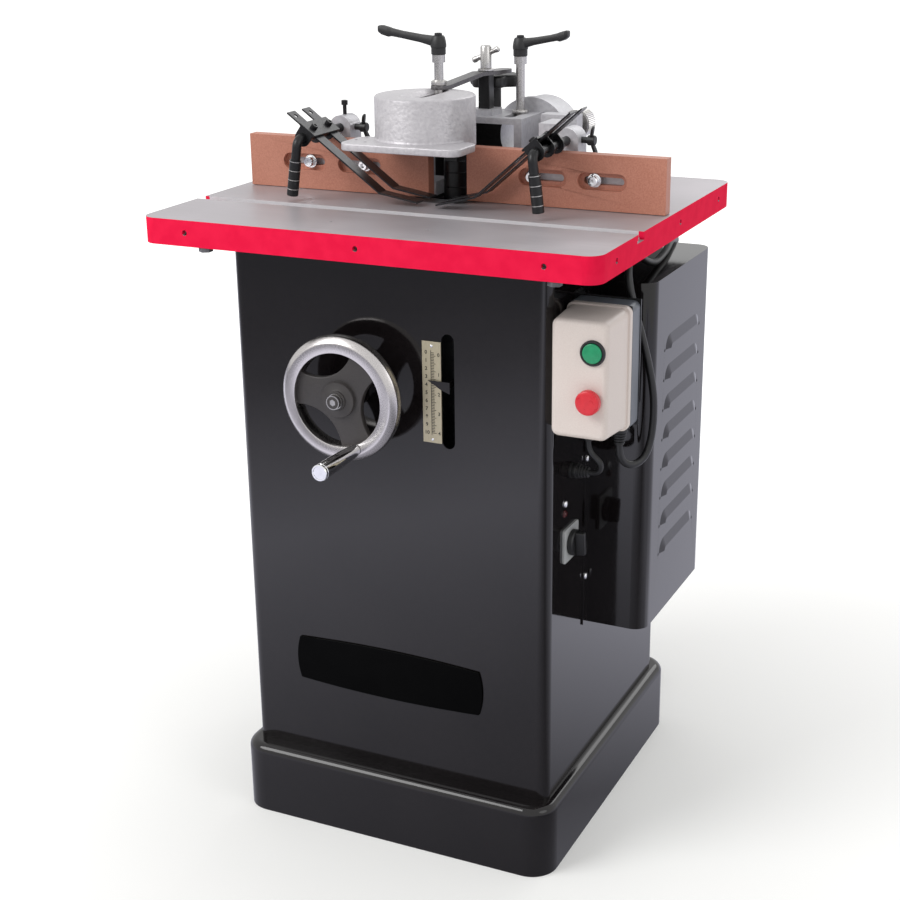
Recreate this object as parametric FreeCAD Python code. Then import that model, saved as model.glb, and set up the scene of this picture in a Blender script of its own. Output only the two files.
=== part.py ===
import FreeCAD, Part
import math
import os

# Floor-standing spindle moulder: cabinet, cast table, rising spindle, fence, guard and hold-downs.
# Millimetres, +X right, +Y to the rear, +Z up.

V = FreeCAD.Vector
UP = (0, 0, 1)
DOWN = (0, 0, -1)
REAR = (0, 1, 0)
FRONT = (0, -1, 0)
RIGHT = (1, 0, 0)
LEFT = (-1, 0, 0)
OVERCUT = 1.0
QUARTER_TURN = 90.0
HEXAGON_SIDES = 6

# Fits: a running fit between turning or sliding pieces, and a plain gap between moving bodies.
RUN_FIT = 0.05
GAP = 0.3

# Plinth.
BASE_WIDTH = 466.0
BASE_DEPTH = 494.0
BASE_HEIGHT = 101.0
BASE_CORNER_R = 36.0
BASE_EDGE_R = 12.0
BASE_WALL = 5.0
BASE_LIP = 48.0
FLOOR_HOLE_R = 7.0
FLOOR_HOLE_INSET = 27.0

# Sheet cabinet.
CABINET_WIDTH = 440.0
CABINET_FRONT = -218.0
CABINET_REAR = 210.0
CABINET_HEIGHT = 716.0
CABINET_CORNER_R = 14.0
CABINET_WALL = 3.0
CABINET_FLANGE = 26.0
CABINET_FLANGE_T = 5.0
CABINET_SIDE = CABINET_WIDTH / 2
CABINET_TOP = BASE_HEIGHT + CABINET_HEIGHT
MOTOR_DOOR_LOW = 322.0
MOTOR_DOOR_HIGH = 758.0

# Cast table.
TABLE_WIDTH = 612.0
TABLE_FRONT = -289.0
TABLE_REAR = 224.0
TABLE_THICKNESS = 33.0
TABLE_SKIN = 14.0
TABLE_RIM = 15.0
TABLE_CORNER_R = 20.0
TABLE_SIDE = TABLE_WIDTH / 2
TABLE_TOP = CABINET_TOP + TABLE_THICKNESS
TABLE_LAND = 34.0
MITRE_Y = -150.0
MITRE_WIDTH = 19.0
MITRE_FOOT_WIDTH = 25.0
MITRE_FOOT_HEIGHT = 3.2
MITRE_DEPTH = 10.5
MITRE_WEB = 20.0
EDGE_HOLE_R = 3.4
EDGE_HOLE_DEPTH = 12.0
EDGE_HOLE_DROP = 16.0
FRONT_HOLES_X = (-240.0, 0.0, 240.0)
SIDE_HOLES_Y = (-232.0, 2.0, 167.0)
TOP_HOLES = ((-66.0, -228.0), (66.0, -228.0))
TOP_HOLE_R = 2.3
TABLE_BOLT_R = 5.0
TABLE_BOLT_HEAD_R = 9.0
TABLE_BOLT_HEAD_H = 6.5
TABLE_BOLT_INSET = 17.0
TABLE_BOLT_REACH = 16.0

# Spindle line and the ring in the table.
SPINDLE_Y = -8.0
TABLE_BORE_R = 58.0
INSERT_R = 65.0
INSERT_BORE_R = 38.0
INSERT_T = 9.0

# Guide casting and quill.
QUILL_R = 45.0
QUILL_LOW = 440.0
QUILL_HIGH = 805.0
QUILL_BORE_R = 24.0
GUIDE_R = 57.0
GUIDE_LOW = 645.0
GUIDE_FLANGE_R = 75.0
GUIDE_FLANGE_T = 14.0
BEARING_R = 36.0
BEARING_W = 18.0
BEARING_INSET = 4.0
SPINDLE_R = 17.5

# Motor hung on the quill's plate.
MOTOR_X = 205.0
MOTOR_Y = 30.0
MOTOR_R = 75.0
MOTOR_WALL = 14.0
MOTOR_LENGTH = 236.0
MOTOR_DOOR_CLEAR = 20.0
PLATE_LOW = 452.0
PLATE_T = 14.0
PLATE_RIGHT = 280.0
MOTOR_SHAFT_R = 12.0
PULLEY_LOW = 404.0
PULLEY_W = 30.0
SPINDLE_PULLEY_R = 28.0
MOTOR_PULLEY_R = 70.0
PULLEY_RIM = 3.0
BELT_T = 4.0
BELT_W = 20.0
BELT_GAP = 0.2

# Spindle nose and the stack on it.
NOSE_R = 12.7
NOSE_TOP = 915.0
SHOULDER_R = 26.0
SHOULDER_LOW = 812.0
SHOULDER_HIGH = 824.0
COLLAR_R = 16.0
COLLAR_SEAMS = (824.0, 862.0, 881.0, 896.0)
COLLAR_RELIEF = 0.6
NUT_ACROSS = 30.0
NUT_H = 14.0

# Height control: handwheel, shaft, bevel pair and lift screw.
WHEEL_X = -41.0
WHEEL_Z = 637.0
WHEEL_R = 81.0
WHEEL_RIM_W = 21.0
WHEEL_RIM_T = 22.0
WHEEL_REACH = 37.0
WHEEL_RIM_ROUND = 7.0
HUB_R = 23.0
HUB_T = 30.0
SPOKE_W = 34.0
SPOKE_T = 9.0
SPOKE_COUNT = 3
SPOKE_ANGLE = -68.0
SHAFT_R = 10.0
SHAFT_BOLT_R = 9.0
SHAFT_BOLT_H = 6.0
SHAFT_BOSS_R = 20.0
SHAFT_BOSS_OUT = 8.0
SHAFT_BOSS_IN = 25.0
GRIP_RING_R = 66.0
GRIP_PIN_R = 5.0
GRIP_LENGTH = 91.0
GRIP_R = 10.5
GRIP_NECK_R = 7.5
GRIP_CAP = 5.0
BEVEL_Y = -100.0
BEVEL_R = 22.0
BEVEL_TEETH = 16
BEVEL_FACE = 7.0
BEVEL_ADDENDUM = 1.7
BEVEL_DEDENDUM = 2.6
BEVEL_TIP_ANGLE = 2.4
BEVEL_ROOT_ANGLE = 7.0
BEVEL_HUB_R = 15.0
BEVEL_BACK = 10.0
SCREW_R = 9.0
SCREW_DROP = 167.0
SCREW_COLLAR_R = 13.0
SCREW_COLLAR_H = 8.0
BRACKET_LEFT = -76.0
BRACKET_RIGHT = -12.0
BRACKET_FRONT = -153.0
BRACKET_LUG = 13.0
BRACKET_SHELF_DROP = 49.0
BRACKET_SHELF_T = 12.0
BRACKET_TOP_RISE = 31.0
BRACKET_TOP_T = 16.0
BRACKET_WEB = 7.0
NUT_ARM_DROP = 85.0
NUT_ARM_T = 24.0
NUT_ARM_HALF = 22.0
NUT_ARM_REACH = 22.0

# Height scale, pointer and the bare badge.
SCALE_LEFT = 51.0
SCALE_RIGHT = 76.5
SCALE_LOW = 579.0
SCALE_HIGH = 710.0
SCALE_T = 1.5
SLOT_X = 85.5
SLOT_HALF = 8.5
SLOT_LOW = 573.0
SLOT_HIGH = 721.0
POINTER_ROD_R = 4.0
POINTER_Z = 656.0
POINTER_Y = 10.0
POINTER_TIP_X = 59.6
POINTER_TIP_RISE = 5.0
POINTER_T = 2.0
POINTER_STAND = 2.5
BADGE_X = -9.0
BADGE_Z = 240.0
BADGE_W = 268.0
BADGE_H = 62.0
BADGE_BOW = 5.0
BADGE_T = 2.5

# Louvred motor cover.
COVER_REACH = 82.0
COVER_FRONT = -84.0
COVER_REAR = 158.0
COVER_LOW = 305.0
COVER_HIGH = 773.0
COVER_WALL = 2.0
COVER_BEND_R = 20.0
COVER_FLANGE = 14.0
LOUVRE_FRONT = -33.0
LOUVRE_REAR = 112.0
LOUVRE_LOW = 395.0
LOUVRE_PITCH = 40.15
LOUVRE_COUNT = 8
LOUVRE_H = 21.0
LOUVRE_OUT = 3.8
LOUVRE_END = 16.0
LOUVRE_LIP = 5.0
LOUVRE_SHEET = 1.4
LOUVRE_RELIEF_R = 1.8
COVER_SCREWS_Z = (374.0, 539.0, 704.0)
PANEL_SCREW = (-162.0, 500.6)
SCREW_HEAD_R = 5.0
SCREW_HEAD_H = 3.0
SCREW_SHANK_R = 2.5
SCREW_SHANK_L = 8.0

# Switch box on its folded plate, glands and the reversing switch.
BRACKET_PLATE_T = 2.5
BOX_FRONT = -236.0
BOX_SPLIT = -165.0
BOX_REAR = -139.5
BOX_LEFT = 222.8
BOX_RIGHT = 304.0
BOX_LOW = 611.0
BOX_HIGH = 766.0
BOX_WALL = 3.0
BOX_CORNER_R = 8.0
LID_DRAFT = 4.0
LID_ROUND = 4.0
START_X = 280.6
START_Z = 724.0
START_R = 12.0
STOP_X = 278.7
STOP_Z = 666.0
STOP_R = 15.0
STOP_STEM_R = 9.0
BUTTON_PROUD = 4.5
STOP_PROUD = 14.0
STOP_HEAD = 9.0
BUTTON_COLLAR = 2.5
BUTTON_COLLAR_H = 3.0
GLAND_X = (244.0, 285.0)
GLAND_Y = -150.0
GLAND_LENGTH = 26.0
GLAND_R = 10.5
GLAND_TIP_R = 6.5
GLAND_NUT = 9.0
INLET_Y = -143.0
INLET_Z = 540.0
INLET_LENGTH = 24.0
REVERSING_Y = -147.0
REVERSING_Z = 444.0
REVERSING_W = 48.0
REVERSING_H = 46.0
REVERSING_T = 3.0
REVERSING_STEM_R = 5.0
REVERSING_STEM_IN = 14.0
REVERSING_DISC_R = 17.0
REVERSING_DISC_H = 7.0
REVERSING_BAR_H = 13.0
REVERSING_BAR_W = 11.0

# Fence boards; heights stand on the table top.
BOARD_FRONT = -45.6
BOARD_T = 16.7
BOARD_LIFT = 0.6
BOARD_H = 69.5
LEFT_BOARD = (-292.0, -22.0)
RIGHT_BOARD = (33.0, 301.0)
BOARD_SLOT_L = 65.0
BOARD_SLOT_H = 21.6
BOARD_SLOT_SINK = 8.0
BOARD_SLOT_THROUGH_R = 4.8
BOARD_SLOT_Z = 36.5
LEFT_SLOTS_X = (-207.5, -123.5)
RIGHT_SLOTS_X = (137.5, 217.5)
LEFT_SCREWS_X = (-201.6, -118.4)
RIGHT_SCREWS_X = (122.0, 205.3)
BOARD_SCREW_R = 4.0
BOARD_WASHER_R = 9.0
BOARD_WASHER_T = 2.0
BOARD_HEAD_R = 6.5
BOARD_HEAD_H = 8.0

# Fence casting.
FENCE_LIFT = 0.4
FENCE_LEFT = -66.0
FENCE_RIGHT = 72.0
FENCE_FRONT = 42.0
FENCE_REAR = 130.0
FENCE_H = 95.0
FENCE_WALL = 11.0
FENCE_ROOF = 8.0
WING_FRONT = -28.6
WING_T = 14.6
WING_H = 62.0
LEFT_WING = (-245.0, -34.0)
LEFT_CHEEK = (-70.0, -58.0)
CHEEK_H = 65.0
TOE_RIGHT = -20.0
TOE_REAR = 18.0
TOE_H = 18.0
HOLDER_HALF = 16.0
HOLDER_FRONT = -16.0
HOLDER_REAR = 14.0
ROD_LIFT = 80.0
LEFT_ROD_X = -168.0
RIGHT_ROD_X = 158.0
ROD_R = 6.0
PORT_X = 54.0
PORT_RISE = 61.0
PORT_R = 50.0
PORT_BORE_R = 46.0
PORT_FRONT = 118.0
PORT_REAR = 175.0
PORT_FACE = 8.0
PORT_COLLAR = 3.0
CLAMP_X = 47.0
CLAMP_Y = 97.0
CLAMP_SLOT_R = 6.8
CLAMP_SLOT = (60.5, 105.5)
LUG_LEFT = 96.0
LUG_RIGHT = 146.0
LUG_FRONT = 50.0
LUG_REAR = 72.0
LUG_H = 102.0
FOOT_H = 12.0
FOOT_FRONT = 46.0
FOOT_REAR = 78.0

# Right-hand fence bracket and its fine adjuster.
RIGHT_WING = (95.0, 250.0)
ARM_REAR = 100.0
ARM_H = 23.0
ADJUST_X = 132.0
ADJUST_RISE = 86.0
ADJUST_SCREW_R = 5.0
ADJUST_SCREW_TIP = 2.0
ADJUST_BOSS = (120.0, 144.0)
ADJUST_BOSS_REAR = 30.0
ADJUST_BOSS_H = 100.0
KNOB_R = 19.0
KNOB_FRONT = 85.0
KNOB_L = 30.0
KNOB_NECK_R = 9.0

# Cutter guard.
POST_X = 8.0
POST_Y = 72.0
POST_W = 16.0
POST_H = 43.5
POST_PAD = 8.0
POST_PAD_W = 32.0
HOOD_X = -20.0
HOOD_Y = -56.0
HOOD_R = 65.0
HOOD_WALL = 6.0
HOOD_FLANGE_W = 168.0
HOOD_FLANGE_D = 66.0
HOOD_FLANGE_R = 16.0
HOOD_FLANGE_T = 9.5
HOOD_LIFT = 71.2
HOOD_H = 64.0
HOOD_ROOF = 8.0
HOOD_EDGE_R = 4.0
HOOD_SLOT_X = -24.0
HOOD_SLOT_R = 7.0
HOOD_SLOT = (-78.0, 0.0)
HOOD_HOLE_R = 2.5
HOOD_HOLES = ((-74.0, -50.0), (-55.0, -62.0), (-69.0, -30.0))
STUD_X = -24.0
STUD_Y = -6.0
STUD_R = 6.0
STUD_HEAD_R = 8.0
STUD_HEAD_H = 5.0
STUD_COLLAR_R = 9.5
STUD_COLLAR_H = 10.0
STRAP_W = 20.0
STRAP_T = 5.0
STRAP_TAIL = 44.0
STRAP_NOSE = 11.0
STRAP_PAD = 13.0
STRAP_SEAT = 13.5
TEE_R = 5.0
TEE_DEPTH = 30.0
TEE_BODY_R = 7.5
TEE_BODY_H = 33.0
TEE_WASHER_R = 11.0
TEE_WASHER_H = 3.0
TEE_BAR_R = 3.4
TEE_BAR_L = 42.0
TEE_BAR_DROP = 12.0
TEE_BAR_TILT = 24.0

# Clamp levers and the star knob.
LEVER_HUB_R = 9.5
LEVER_HUB_H = 24.0
LEVER_CAP_R = 5.0
LEVER_CAP_H = 3.0
LEVER_ARM = 86.0
LEVER_RISE = 11.0
LEVER_W = 13.0
LEVER_ROOT = 15.0
LEVER_TIP = 12.0
LEFT_LEVER_STUD = 44.0
LEFT_LEVER_ANGLE = 180.0
RIGHT_LEVER_STUD = 75.0
RIGHT_LEVER_ANGLE = 0.0
RIGHT_LEVER_ARM = 69.0
CLAMP_R = 6.0
CLAMP_BITE = 11.0
CLAMP_WASHER_R = 11.0
CLAMP_WASHER_H = 4.0
STAR_X = 0.0
STAR_Y = 118.0
STAR_R = 36.0
STAR_LOBES = 6
STAR_LOBE_R = 9.0
STAR_T = 16.0
STAR_POST_R = 9.0
STAR_POST_H = 31.5
STAR_PIN_R = 5.0
STAR_PIN_L = 6.5

# Hold-down arms.
ROD_REAR = 24.0
LEG_Y = -128.0
LEG_BEND_R = 9.0
LEFT_FOOT = (-11.0, -72.0)
RIGHT_FOOT = (9.0, -70.0)
LEG_GRIP_R = 7.5
LEG_GRIP_L = 46.0
CLEVIS_FRONT = -116.0
CLEVIS_REAR = -49.0
CLEVIS_HALF = 13.0
CLEVIS_SHEET = 3.0
CLEVIS_ROOF = 11.2
CLEVIS_EAR_R = 11.0
FINGER_W = 19.0
FINGER_T = 2.0
FINGER_RISE = 8.7
FINGER_INSET_FRONT = 16.0
FINGER_INSET_REAR = 13.0
FINGER_TIP = 55.0
FINGER_BEND = 27.0
FINGER_HOLE_R = 3.2
FINGER_HOLE_INSET = 9.0
LEFT_FINGER = (-38.0, 125.0)
LEFT_FINGER_ANGLE = 36.0
RIGHT_FINGER = (-63.0, 106.0)
RIGHT_FINGER_ANGLE = 41.0
WING_SCREW_R = 4.0
WING_SCREW_REACH = 18.0
WING_HUB_R = 6.5
WING_HUB_L = 10.0
WING_SPAN = 38.0
WING_DEPTH = 11.0
WING_SHEET = 5.0
WING_TILT = 20.0
WING_BITE = 9.5
WING_Y = -1.0

# Leads: switch lead, then the supply cord with its coil and plug.
LEAD_R = 4.0
LEAD_ROUTE = (
    (244.0, -150.0, 585.0),
    (244.0, -150.0, 571.0),
    (259.7, -147.5, 557.9),
    (260.3, -145.0, 547.6),
    (253.2, -143.0, 540.0),
    (244.0, -143.0, 540.0),
)
CORD_R = 4.75
CORD_ROUTE = (
    (285.0, -150.0, 585.0),
    (285.0, -150.0, 567.0),
    (296.0, -136.0, 553.0),
    (308.0, -120.0, 560.0),
    (313.0, -112.0, 580.0),
    (315.0, -109.0, 608.0),
    (314.0, -108.0, 640.0),
    (307.0, -108.0, 676.0),
    (297.0, -108.0, 712.0),
    (286.0, -108.5, 748.0),
    (277.0, -107.0, 780.0),
    (273.0, -98.0, 800.0),
    (271.0, -78.0, 808.0),
    (271.0, -52.0, 801.0),
    (272.0, -26.0, 787.0),
    (273.0, 4.0, 779.0),
    (269.0, 40.0, 778.4),
    (262.0, 85.0, 778.6),
    (252.0, 130.0, 778.9),
    (244.0, 172.0, 778.2),
    (236.0, 208.0, 765.0),
    (219.0, 237.0, 742.0),
    (204.0, 250.0, 706.0),
    (195.0, 256.0, 655.0),
    (190.0, 259.0, 585.0),
    (186.5, 261.0, 505.0),
    (184.0, 262.5, 420.0),
    (182.2, 263.7, 335.0),
    (180.8, 264.8, 250.0),
    (179.6, 266.2, 168.0),
    (178.4, 268.0, 90.0),
    (177.6, 270.4, 50.0),
    (177.2, 278.6, 29.0),
    (177.0, 293.8, 13.5),
    (177.0, 314.0, 5.0),
    (177.0, 335.4, 5.0),
)
CORD_TANGENT_SHARE = 0.45
COIL_STEP = 10.6
COIL_RADIUS = 60.0
COIL_LAYER_TURNS = 1.5
COIL_CLIMB_TURNS = 0.5
COIL_LAYER_RISE = 10.1
COIL_FLARE = 27.0
COIL_TANGENT_STEP = 0.001
COIL_PIECES_PER_TURN = 4
PLUG_L = 46.0
PLUG_W = 38.0
PLUG_H = 29.0
PLUG_EDGE_R = 6.0
PLUG_PIN_R = 2.4
PLUG_PIN_L = 19.0
PLUG_PIN_SPACING = 19.0

# Heights and lines that follow from the sizes above.
FENCE_LOW = TABLE_TOP + FENCE_LIFT
FENCE_HIGH = TABLE_TOP + FENCE_H
ROD_Z = TABLE_TOP + ROD_LIFT
HOOD_LOW = TABLE_TOP + HOOD_LIFT
HOOD_HIGH = HOOD_LOW + HOOD_H
POST_LOW = FENCE_HIGH + POST_PAD
POST_HIGH = POST_LOW + POST_H
STRAP_LOW = POST_HIGH + GAP
STRAP_FOOT = HOOD_HIGH + GAP
BOARD_LOW = TABLE_TOP + BOARD_LIFT
BOARD_REAR = BOARD_FRONT + BOARD_T
COVER_SIDE = CABINET_SIDE + COVER_REACH
PORT_Z = TABLE_TOP + PORT_RISE
ADJUST_Z = TABLE_TOP + ADJUST_RISE
WHEEL_MID = CABINET_FRONT - SHAFT_BOSS_OUT - WHEEL_REACH - GAP
WHEEL_FRONT = WHEEL_MID - WHEEL_RIM_T / 2
GRIP_FRONT = WHEEL_FRONT - GAP - GRIP_LENGTH
GRIP_X = WHEEL_X + GRIP_RING_R * math.cos(math.radians(SPOKE_ANGLE))
SCREW_LOW = WHEEL_Z - SCREW_DROP
BRACKET_SHELF_LOW = WHEEL_Z - BRACKET_SHELF_DROP
BRACKET_TOP_LOW = WHEEL_Z + BRACKET_TOP_RISE
NUT_ARM_LOW = WHEEL_Z - NUT_ARM_DROP
GRIP_Z = WHEEL_Z + GRIP_RING_R * math.sin(math.radians(SPOKE_ANGLE))
FRAME_Y = -(GRIP_FRONT + BASE_DEPTH / 2) / 2

pieces = {}


def block(x0, x1, y0, y1, z0, z1):
    return Part.makeBox(x1 - x0, y1 - y0, z1 - z0, V(x0, y0, z0))


def rod(start, direction, radius, length):
    return Part.makeCylinder(radius, length, V(*start), V(*direction))


def cone(start, direction, radius, tip_radius, length):
    return Part.makeCone(radius, tip_radius, length, V(*start), V(*direction))


def rounded_wire(x0, x1, y0, y1, z, radius):
    inner = radius * (1 - math.sqrt(0.5))
    corners = (
        ((x0, y0 + radius), (x0 + inner, y0 + inner), (x0 + radius, y0)),
        ((x1 - radius, y0), (x1 - inner, y0 + inner), (x1, y0 + radius)),
        ((x1, y1 - radius), (x1 - inner, y1 - inner), (x1 - radius, y1)),
        ((x0 + radius, y1), (x0 + inner, y1 - inner), (x0, y1 - radius)),
    )
    edges = []
    for index, (start, middle, end) in enumerate(corners):
        following = corners[(index + 1) % len(corners)][0]
        edges.append(Part.Arc(V(*start, z), V(*middle, z), V(*end, z)).toShape())
        edges.append(Part.makeLine(V(*end, z), V(*following, z)))
    return Part.Wire(edges)


def rounded_block(x0, x1, y0, y1, z0, z1, radius):
    return Part.Face(rounded_wire(x0, x1, y0, y1, z0, radius)).extrude(V(0, 0, z1 - z0))


def slot(start, end, radius, direction, depth):
    first = V(*start)
    last = V(*end)
    along = (last - first).normalize()
    side = V(*direction).cross(along)
    edges = [
        Part.makeLine(first + side * radius, last + side * radius),
        Part.Arc(last + side * radius, last + along * radius, last - side * radius).toShape(),
        Part.makeLine(last - side * radius, first - side * radius),
        Part.Arc(first - side * radius, first - along * radius, first + side * radius).toShape(),
    ]
    return Part.Face(Part.Wire(edges)).extrude(V(*direction) * depth)


def prism(points, direction, depth):
    corners = [V(*point) for point in points]
    face = Part.Face(Part.makePolygon(corners + corners[:1]))
    return face.extrude(V(*direction) * depth)


def turned(profile):
    corners = [V(radius, 0, height) for radius, height in profile]
    face = Part.Face(Part.makePolygon(corners + corners[:1]))
    return face.revolve(V(0, 0, 0), V(*UP), 360)


def placed(shape, base, direction):
    moved = shape.copy()
    move = FreeCAD.Placement(V(*base), FreeCAD.Rotation(V(*UP), V(*direction)))
    moved.Placement = move.multiply(moved.Placement)
    return moved


def rotated(shape, centre, axis, angle):
    moved = shape.copy()
    moved.rotate(V(*centre), V(*axis), angle)
    return moved


def hexagon(centre, across, height):
    radius = across / math.sqrt(3)
    points = []
    for index in range(HEXAGON_SIDES):
        angle = 2 * math.pi * index / HEXAGON_SIDES
        points.append((centre[0] + radius * math.cos(angle), centre[1] + radius * math.sin(angle), centre[2]))
    return prism(points, UP, height)


def rounded_rim(shape, height, radius):
    edges = []
    for edge in shape.Edges:
        box = edge.BoundBox
        if abs(box.ZMin - height) < RUN_FIT and abs(box.ZMax - height) < RUN_FIT:
            edges.append(edge)
    return shape.makeFillet(radius, edges)


def one(shape):
    return shape.removeSplitter()


def bent_wire(points, share, radius_limit=None):
    corners = [V(*point) for point in points]
    edges = []
    radii = []
    last = corners[0]
    for before, corner, after in zip(corners, corners[1:], corners[2:]):
        arriving = (corner - before).normalize()
        leaving = (after - corner).normalize()
        half = arriving.getAngle(leaving) / 2
        tangent = share * min(corner.distanceToPoint(before), corner.distanceToPoint(after))
        if radius_limit:
            tangent = radius_limit * math.tan(half)
        radius = tangent / math.tan(half)
        inward = (leaving - arriving).normalize()
        centre = corner + inward * (radius / math.cos(half))
        start = corner - arriving * tangent
        end = corner + leaving * tangent
        edges.append(Part.makeLine(last, start))
        edges.append(Part.Arc(start, centre - inward * radius, end).toShape())
        radii.append(radius)
        last = end
    edges.append(Part.makeLine(last, corners[-1]))
    return Part.Wire(edges), radii


def tube(wire, start, direction, radius):
    section = Part.Wire([Part.Circle(start, direction, radius).toShape()])
    return wire.makePipeShell([section], True, False)


def bent_rod(points, radius, share, radius_limit=None):
    wire, radii = bent_wire(points, share, radius_limit)
    start = V(*points[0])
    return tube(wire, start, V(*points[1]) - start, radius), wire.Length, radii


def biarc(start, start_direction, end, end_direction):
    chord = end - start
    both = start_direction + end_direction
    square = both.dot(both) - 4
    middle = chord.dot(both)
    reach = (middle - math.sqrt(middle * middle - square * chord.dot(chord))) / square
    if reach < 0:
        reach = (middle + math.sqrt(middle * middle - square * chord.dot(chord))) / square
    first = start + start_direction * reach
    second = end - end_direction * reach
    joint = (first + second) * 0.5
    return [arc_between(start, first, joint), arc_between(joint, second, end)]


def arc_between(start, corner, end):
    arriving = (corner - start).normalize()
    leaving = (end - corner).normalize()
    half = arriving.getAngle(leaving) / 2
    tangent = corner.distanceToPoint(start)
    inward = (leaving - arriving).normalize()
    radius = tangent / math.tan(half)
    middle = corner + inward * (radius / math.cos(half) - radius)
    return Part.Arc(start, middle, end).toShape()


def base_plinth():
    side = BASE_WIDTH / 2
    end = BASE_DEPTH / 2
    body = rounded_block(-side, side, -end, end, 0, BASE_HEIGHT, BASE_CORNER_R)
    body = rounded_rim(body, BASE_HEIGHT, BASE_EDGE_R)
    inner_side = side - BASE_WALL
    inner_end = end - BASE_WALL
    hollow = rounded_block(-inner_side, inner_side, -inner_end, inner_end,
                           BASE_WALL, BASE_HEIGHT - BASE_WALL, BASE_CORNER_R - BASE_WALL)
    mouth = block(-side + BASE_LIP, side - BASE_LIP, -end + BASE_LIP, end - BASE_LIP, -OVERCUT,
                  BASE_HEIGHT + OVERCUT)
    body = body.cut(hollow).cut(mouth)
    for x in (-side + FLOOR_HOLE_INSET, side - FLOOR_HOLE_INSET):
        for y in (-end + FLOOR_HOLE_INSET, end - FLOOR_HOLE_INSET):
            body = body.cut(rod((x, y, -OVERCUT), UP, FLOOR_HOLE_R, BASE_WALL + 2 * OVERCUT))
    return body


def cabinet_shell():
    body = rounded_block(-CABINET_SIDE, CABINET_SIDE, CABINET_FRONT, CABINET_REAR,
                         BASE_HEIGHT, CABINET_TOP, CABINET_CORNER_R)
    hollow = rounded_block(-CABINET_SIDE + CABINET_WALL, CABINET_SIDE - CABINET_WALL,
                           CABINET_FRONT + CABINET_WALL, CABINET_REAR - CABINET_WALL,
                           BASE_HEIGHT + CABINET_FLANGE_T, CABINET_TOP - CABINET_FLANGE_T,
                           CABINET_CORNER_R - CABINET_WALL)
    mouth = block(-CABINET_SIDE + CABINET_FLANGE, CABINET_SIDE - CABINET_FLANGE,
                  CABINET_FRONT + CABINET_FLANGE, CABINET_REAR - CABINET_FLANGE,
                  BASE_HEIGHT - OVERCUT, CABINET_TOP + OVERCUT)
    body = body.cut(hollow).cut(mouth)
    boss_front = CABINET_FRONT - SHAFT_BOSS_OUT
    boss = rod((WHEEL_X, boss_front, WHEEL_Z), REAR, SHAFT_BOSS_R, SHAFT_BOSS_OUT + SHAFT_BOSS_IN)
    body = body.fuse(boss)
    cuts = [
        rod((WHEEL_X, boss_front - OVERCUT, WHEEL_Z), REAR, SHAFT_R + RUN_FIT,
            SHAFT_BOSS_OUT + SHAFT_BOSS_IN + 2 * OVERCUT),
        slot((SLOT_X, CABINET_FRONT - OVERCUT, SLOT_LOW + SLOT_HALF),
             (SLOT_X, CABINET_FRONT - OVERCUT, SLOT_HIGH - SLOT_HALF),
             SLOT_HALF, REAR, CABINET_WALL + 2 * OVERCUT),
        block(CABINET_SIDE - CABINET_WALL - OVERCUT, CABINET_SIDE + OVERCUT,
              MOTOR_Y - MOTOR_R - MOTOR_DOOR_CLEAR, MOTOR_Y + MOTOR_R + MOTOR_DOOR_CLEAR,
              MOTOR_DOOR_LOW, MOTOR_DOOR_HIGH),
        rod((CABINET_SIDE + OVERCUT, REVERSING_Y, REVERSING_Z), LEFT, REVERSING_STEM_R + GAP,
            CABINET_WALL + 2 * OVERCUT),
        rod((CABINET_SIDE + OVERCUT, INLET_Y, INLET_Z), LEFT, LEAD_R, CABINET_WALL + 2 * OVERCUT),
    ]
    cuts += [screw_shank(y, z) for y, z in panel_screws()]
    for x, y in table_bolt_places():
        cuts.append(rod((x, y, CABINET_TOP - CABINET_FLANGE_T - OVERCUT), UP, TABLE_BOLT_R,
                        CABINET_FLANGE_T + 2 * OVERCUT))
    for cutter in cuts:
        body = body.cut(cutter)
    return one(body)


def table_bolt_places():
    x = CABINET_SIDE - TABLE_BOLT_INSET
    return [(sx * x, y) for sx in (-1, 1)
            for y in (CABINET_FRONT + TABLE_BOLT_INSET, CABINET_REAR - TABLE_BOLT_INSET)]


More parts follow.
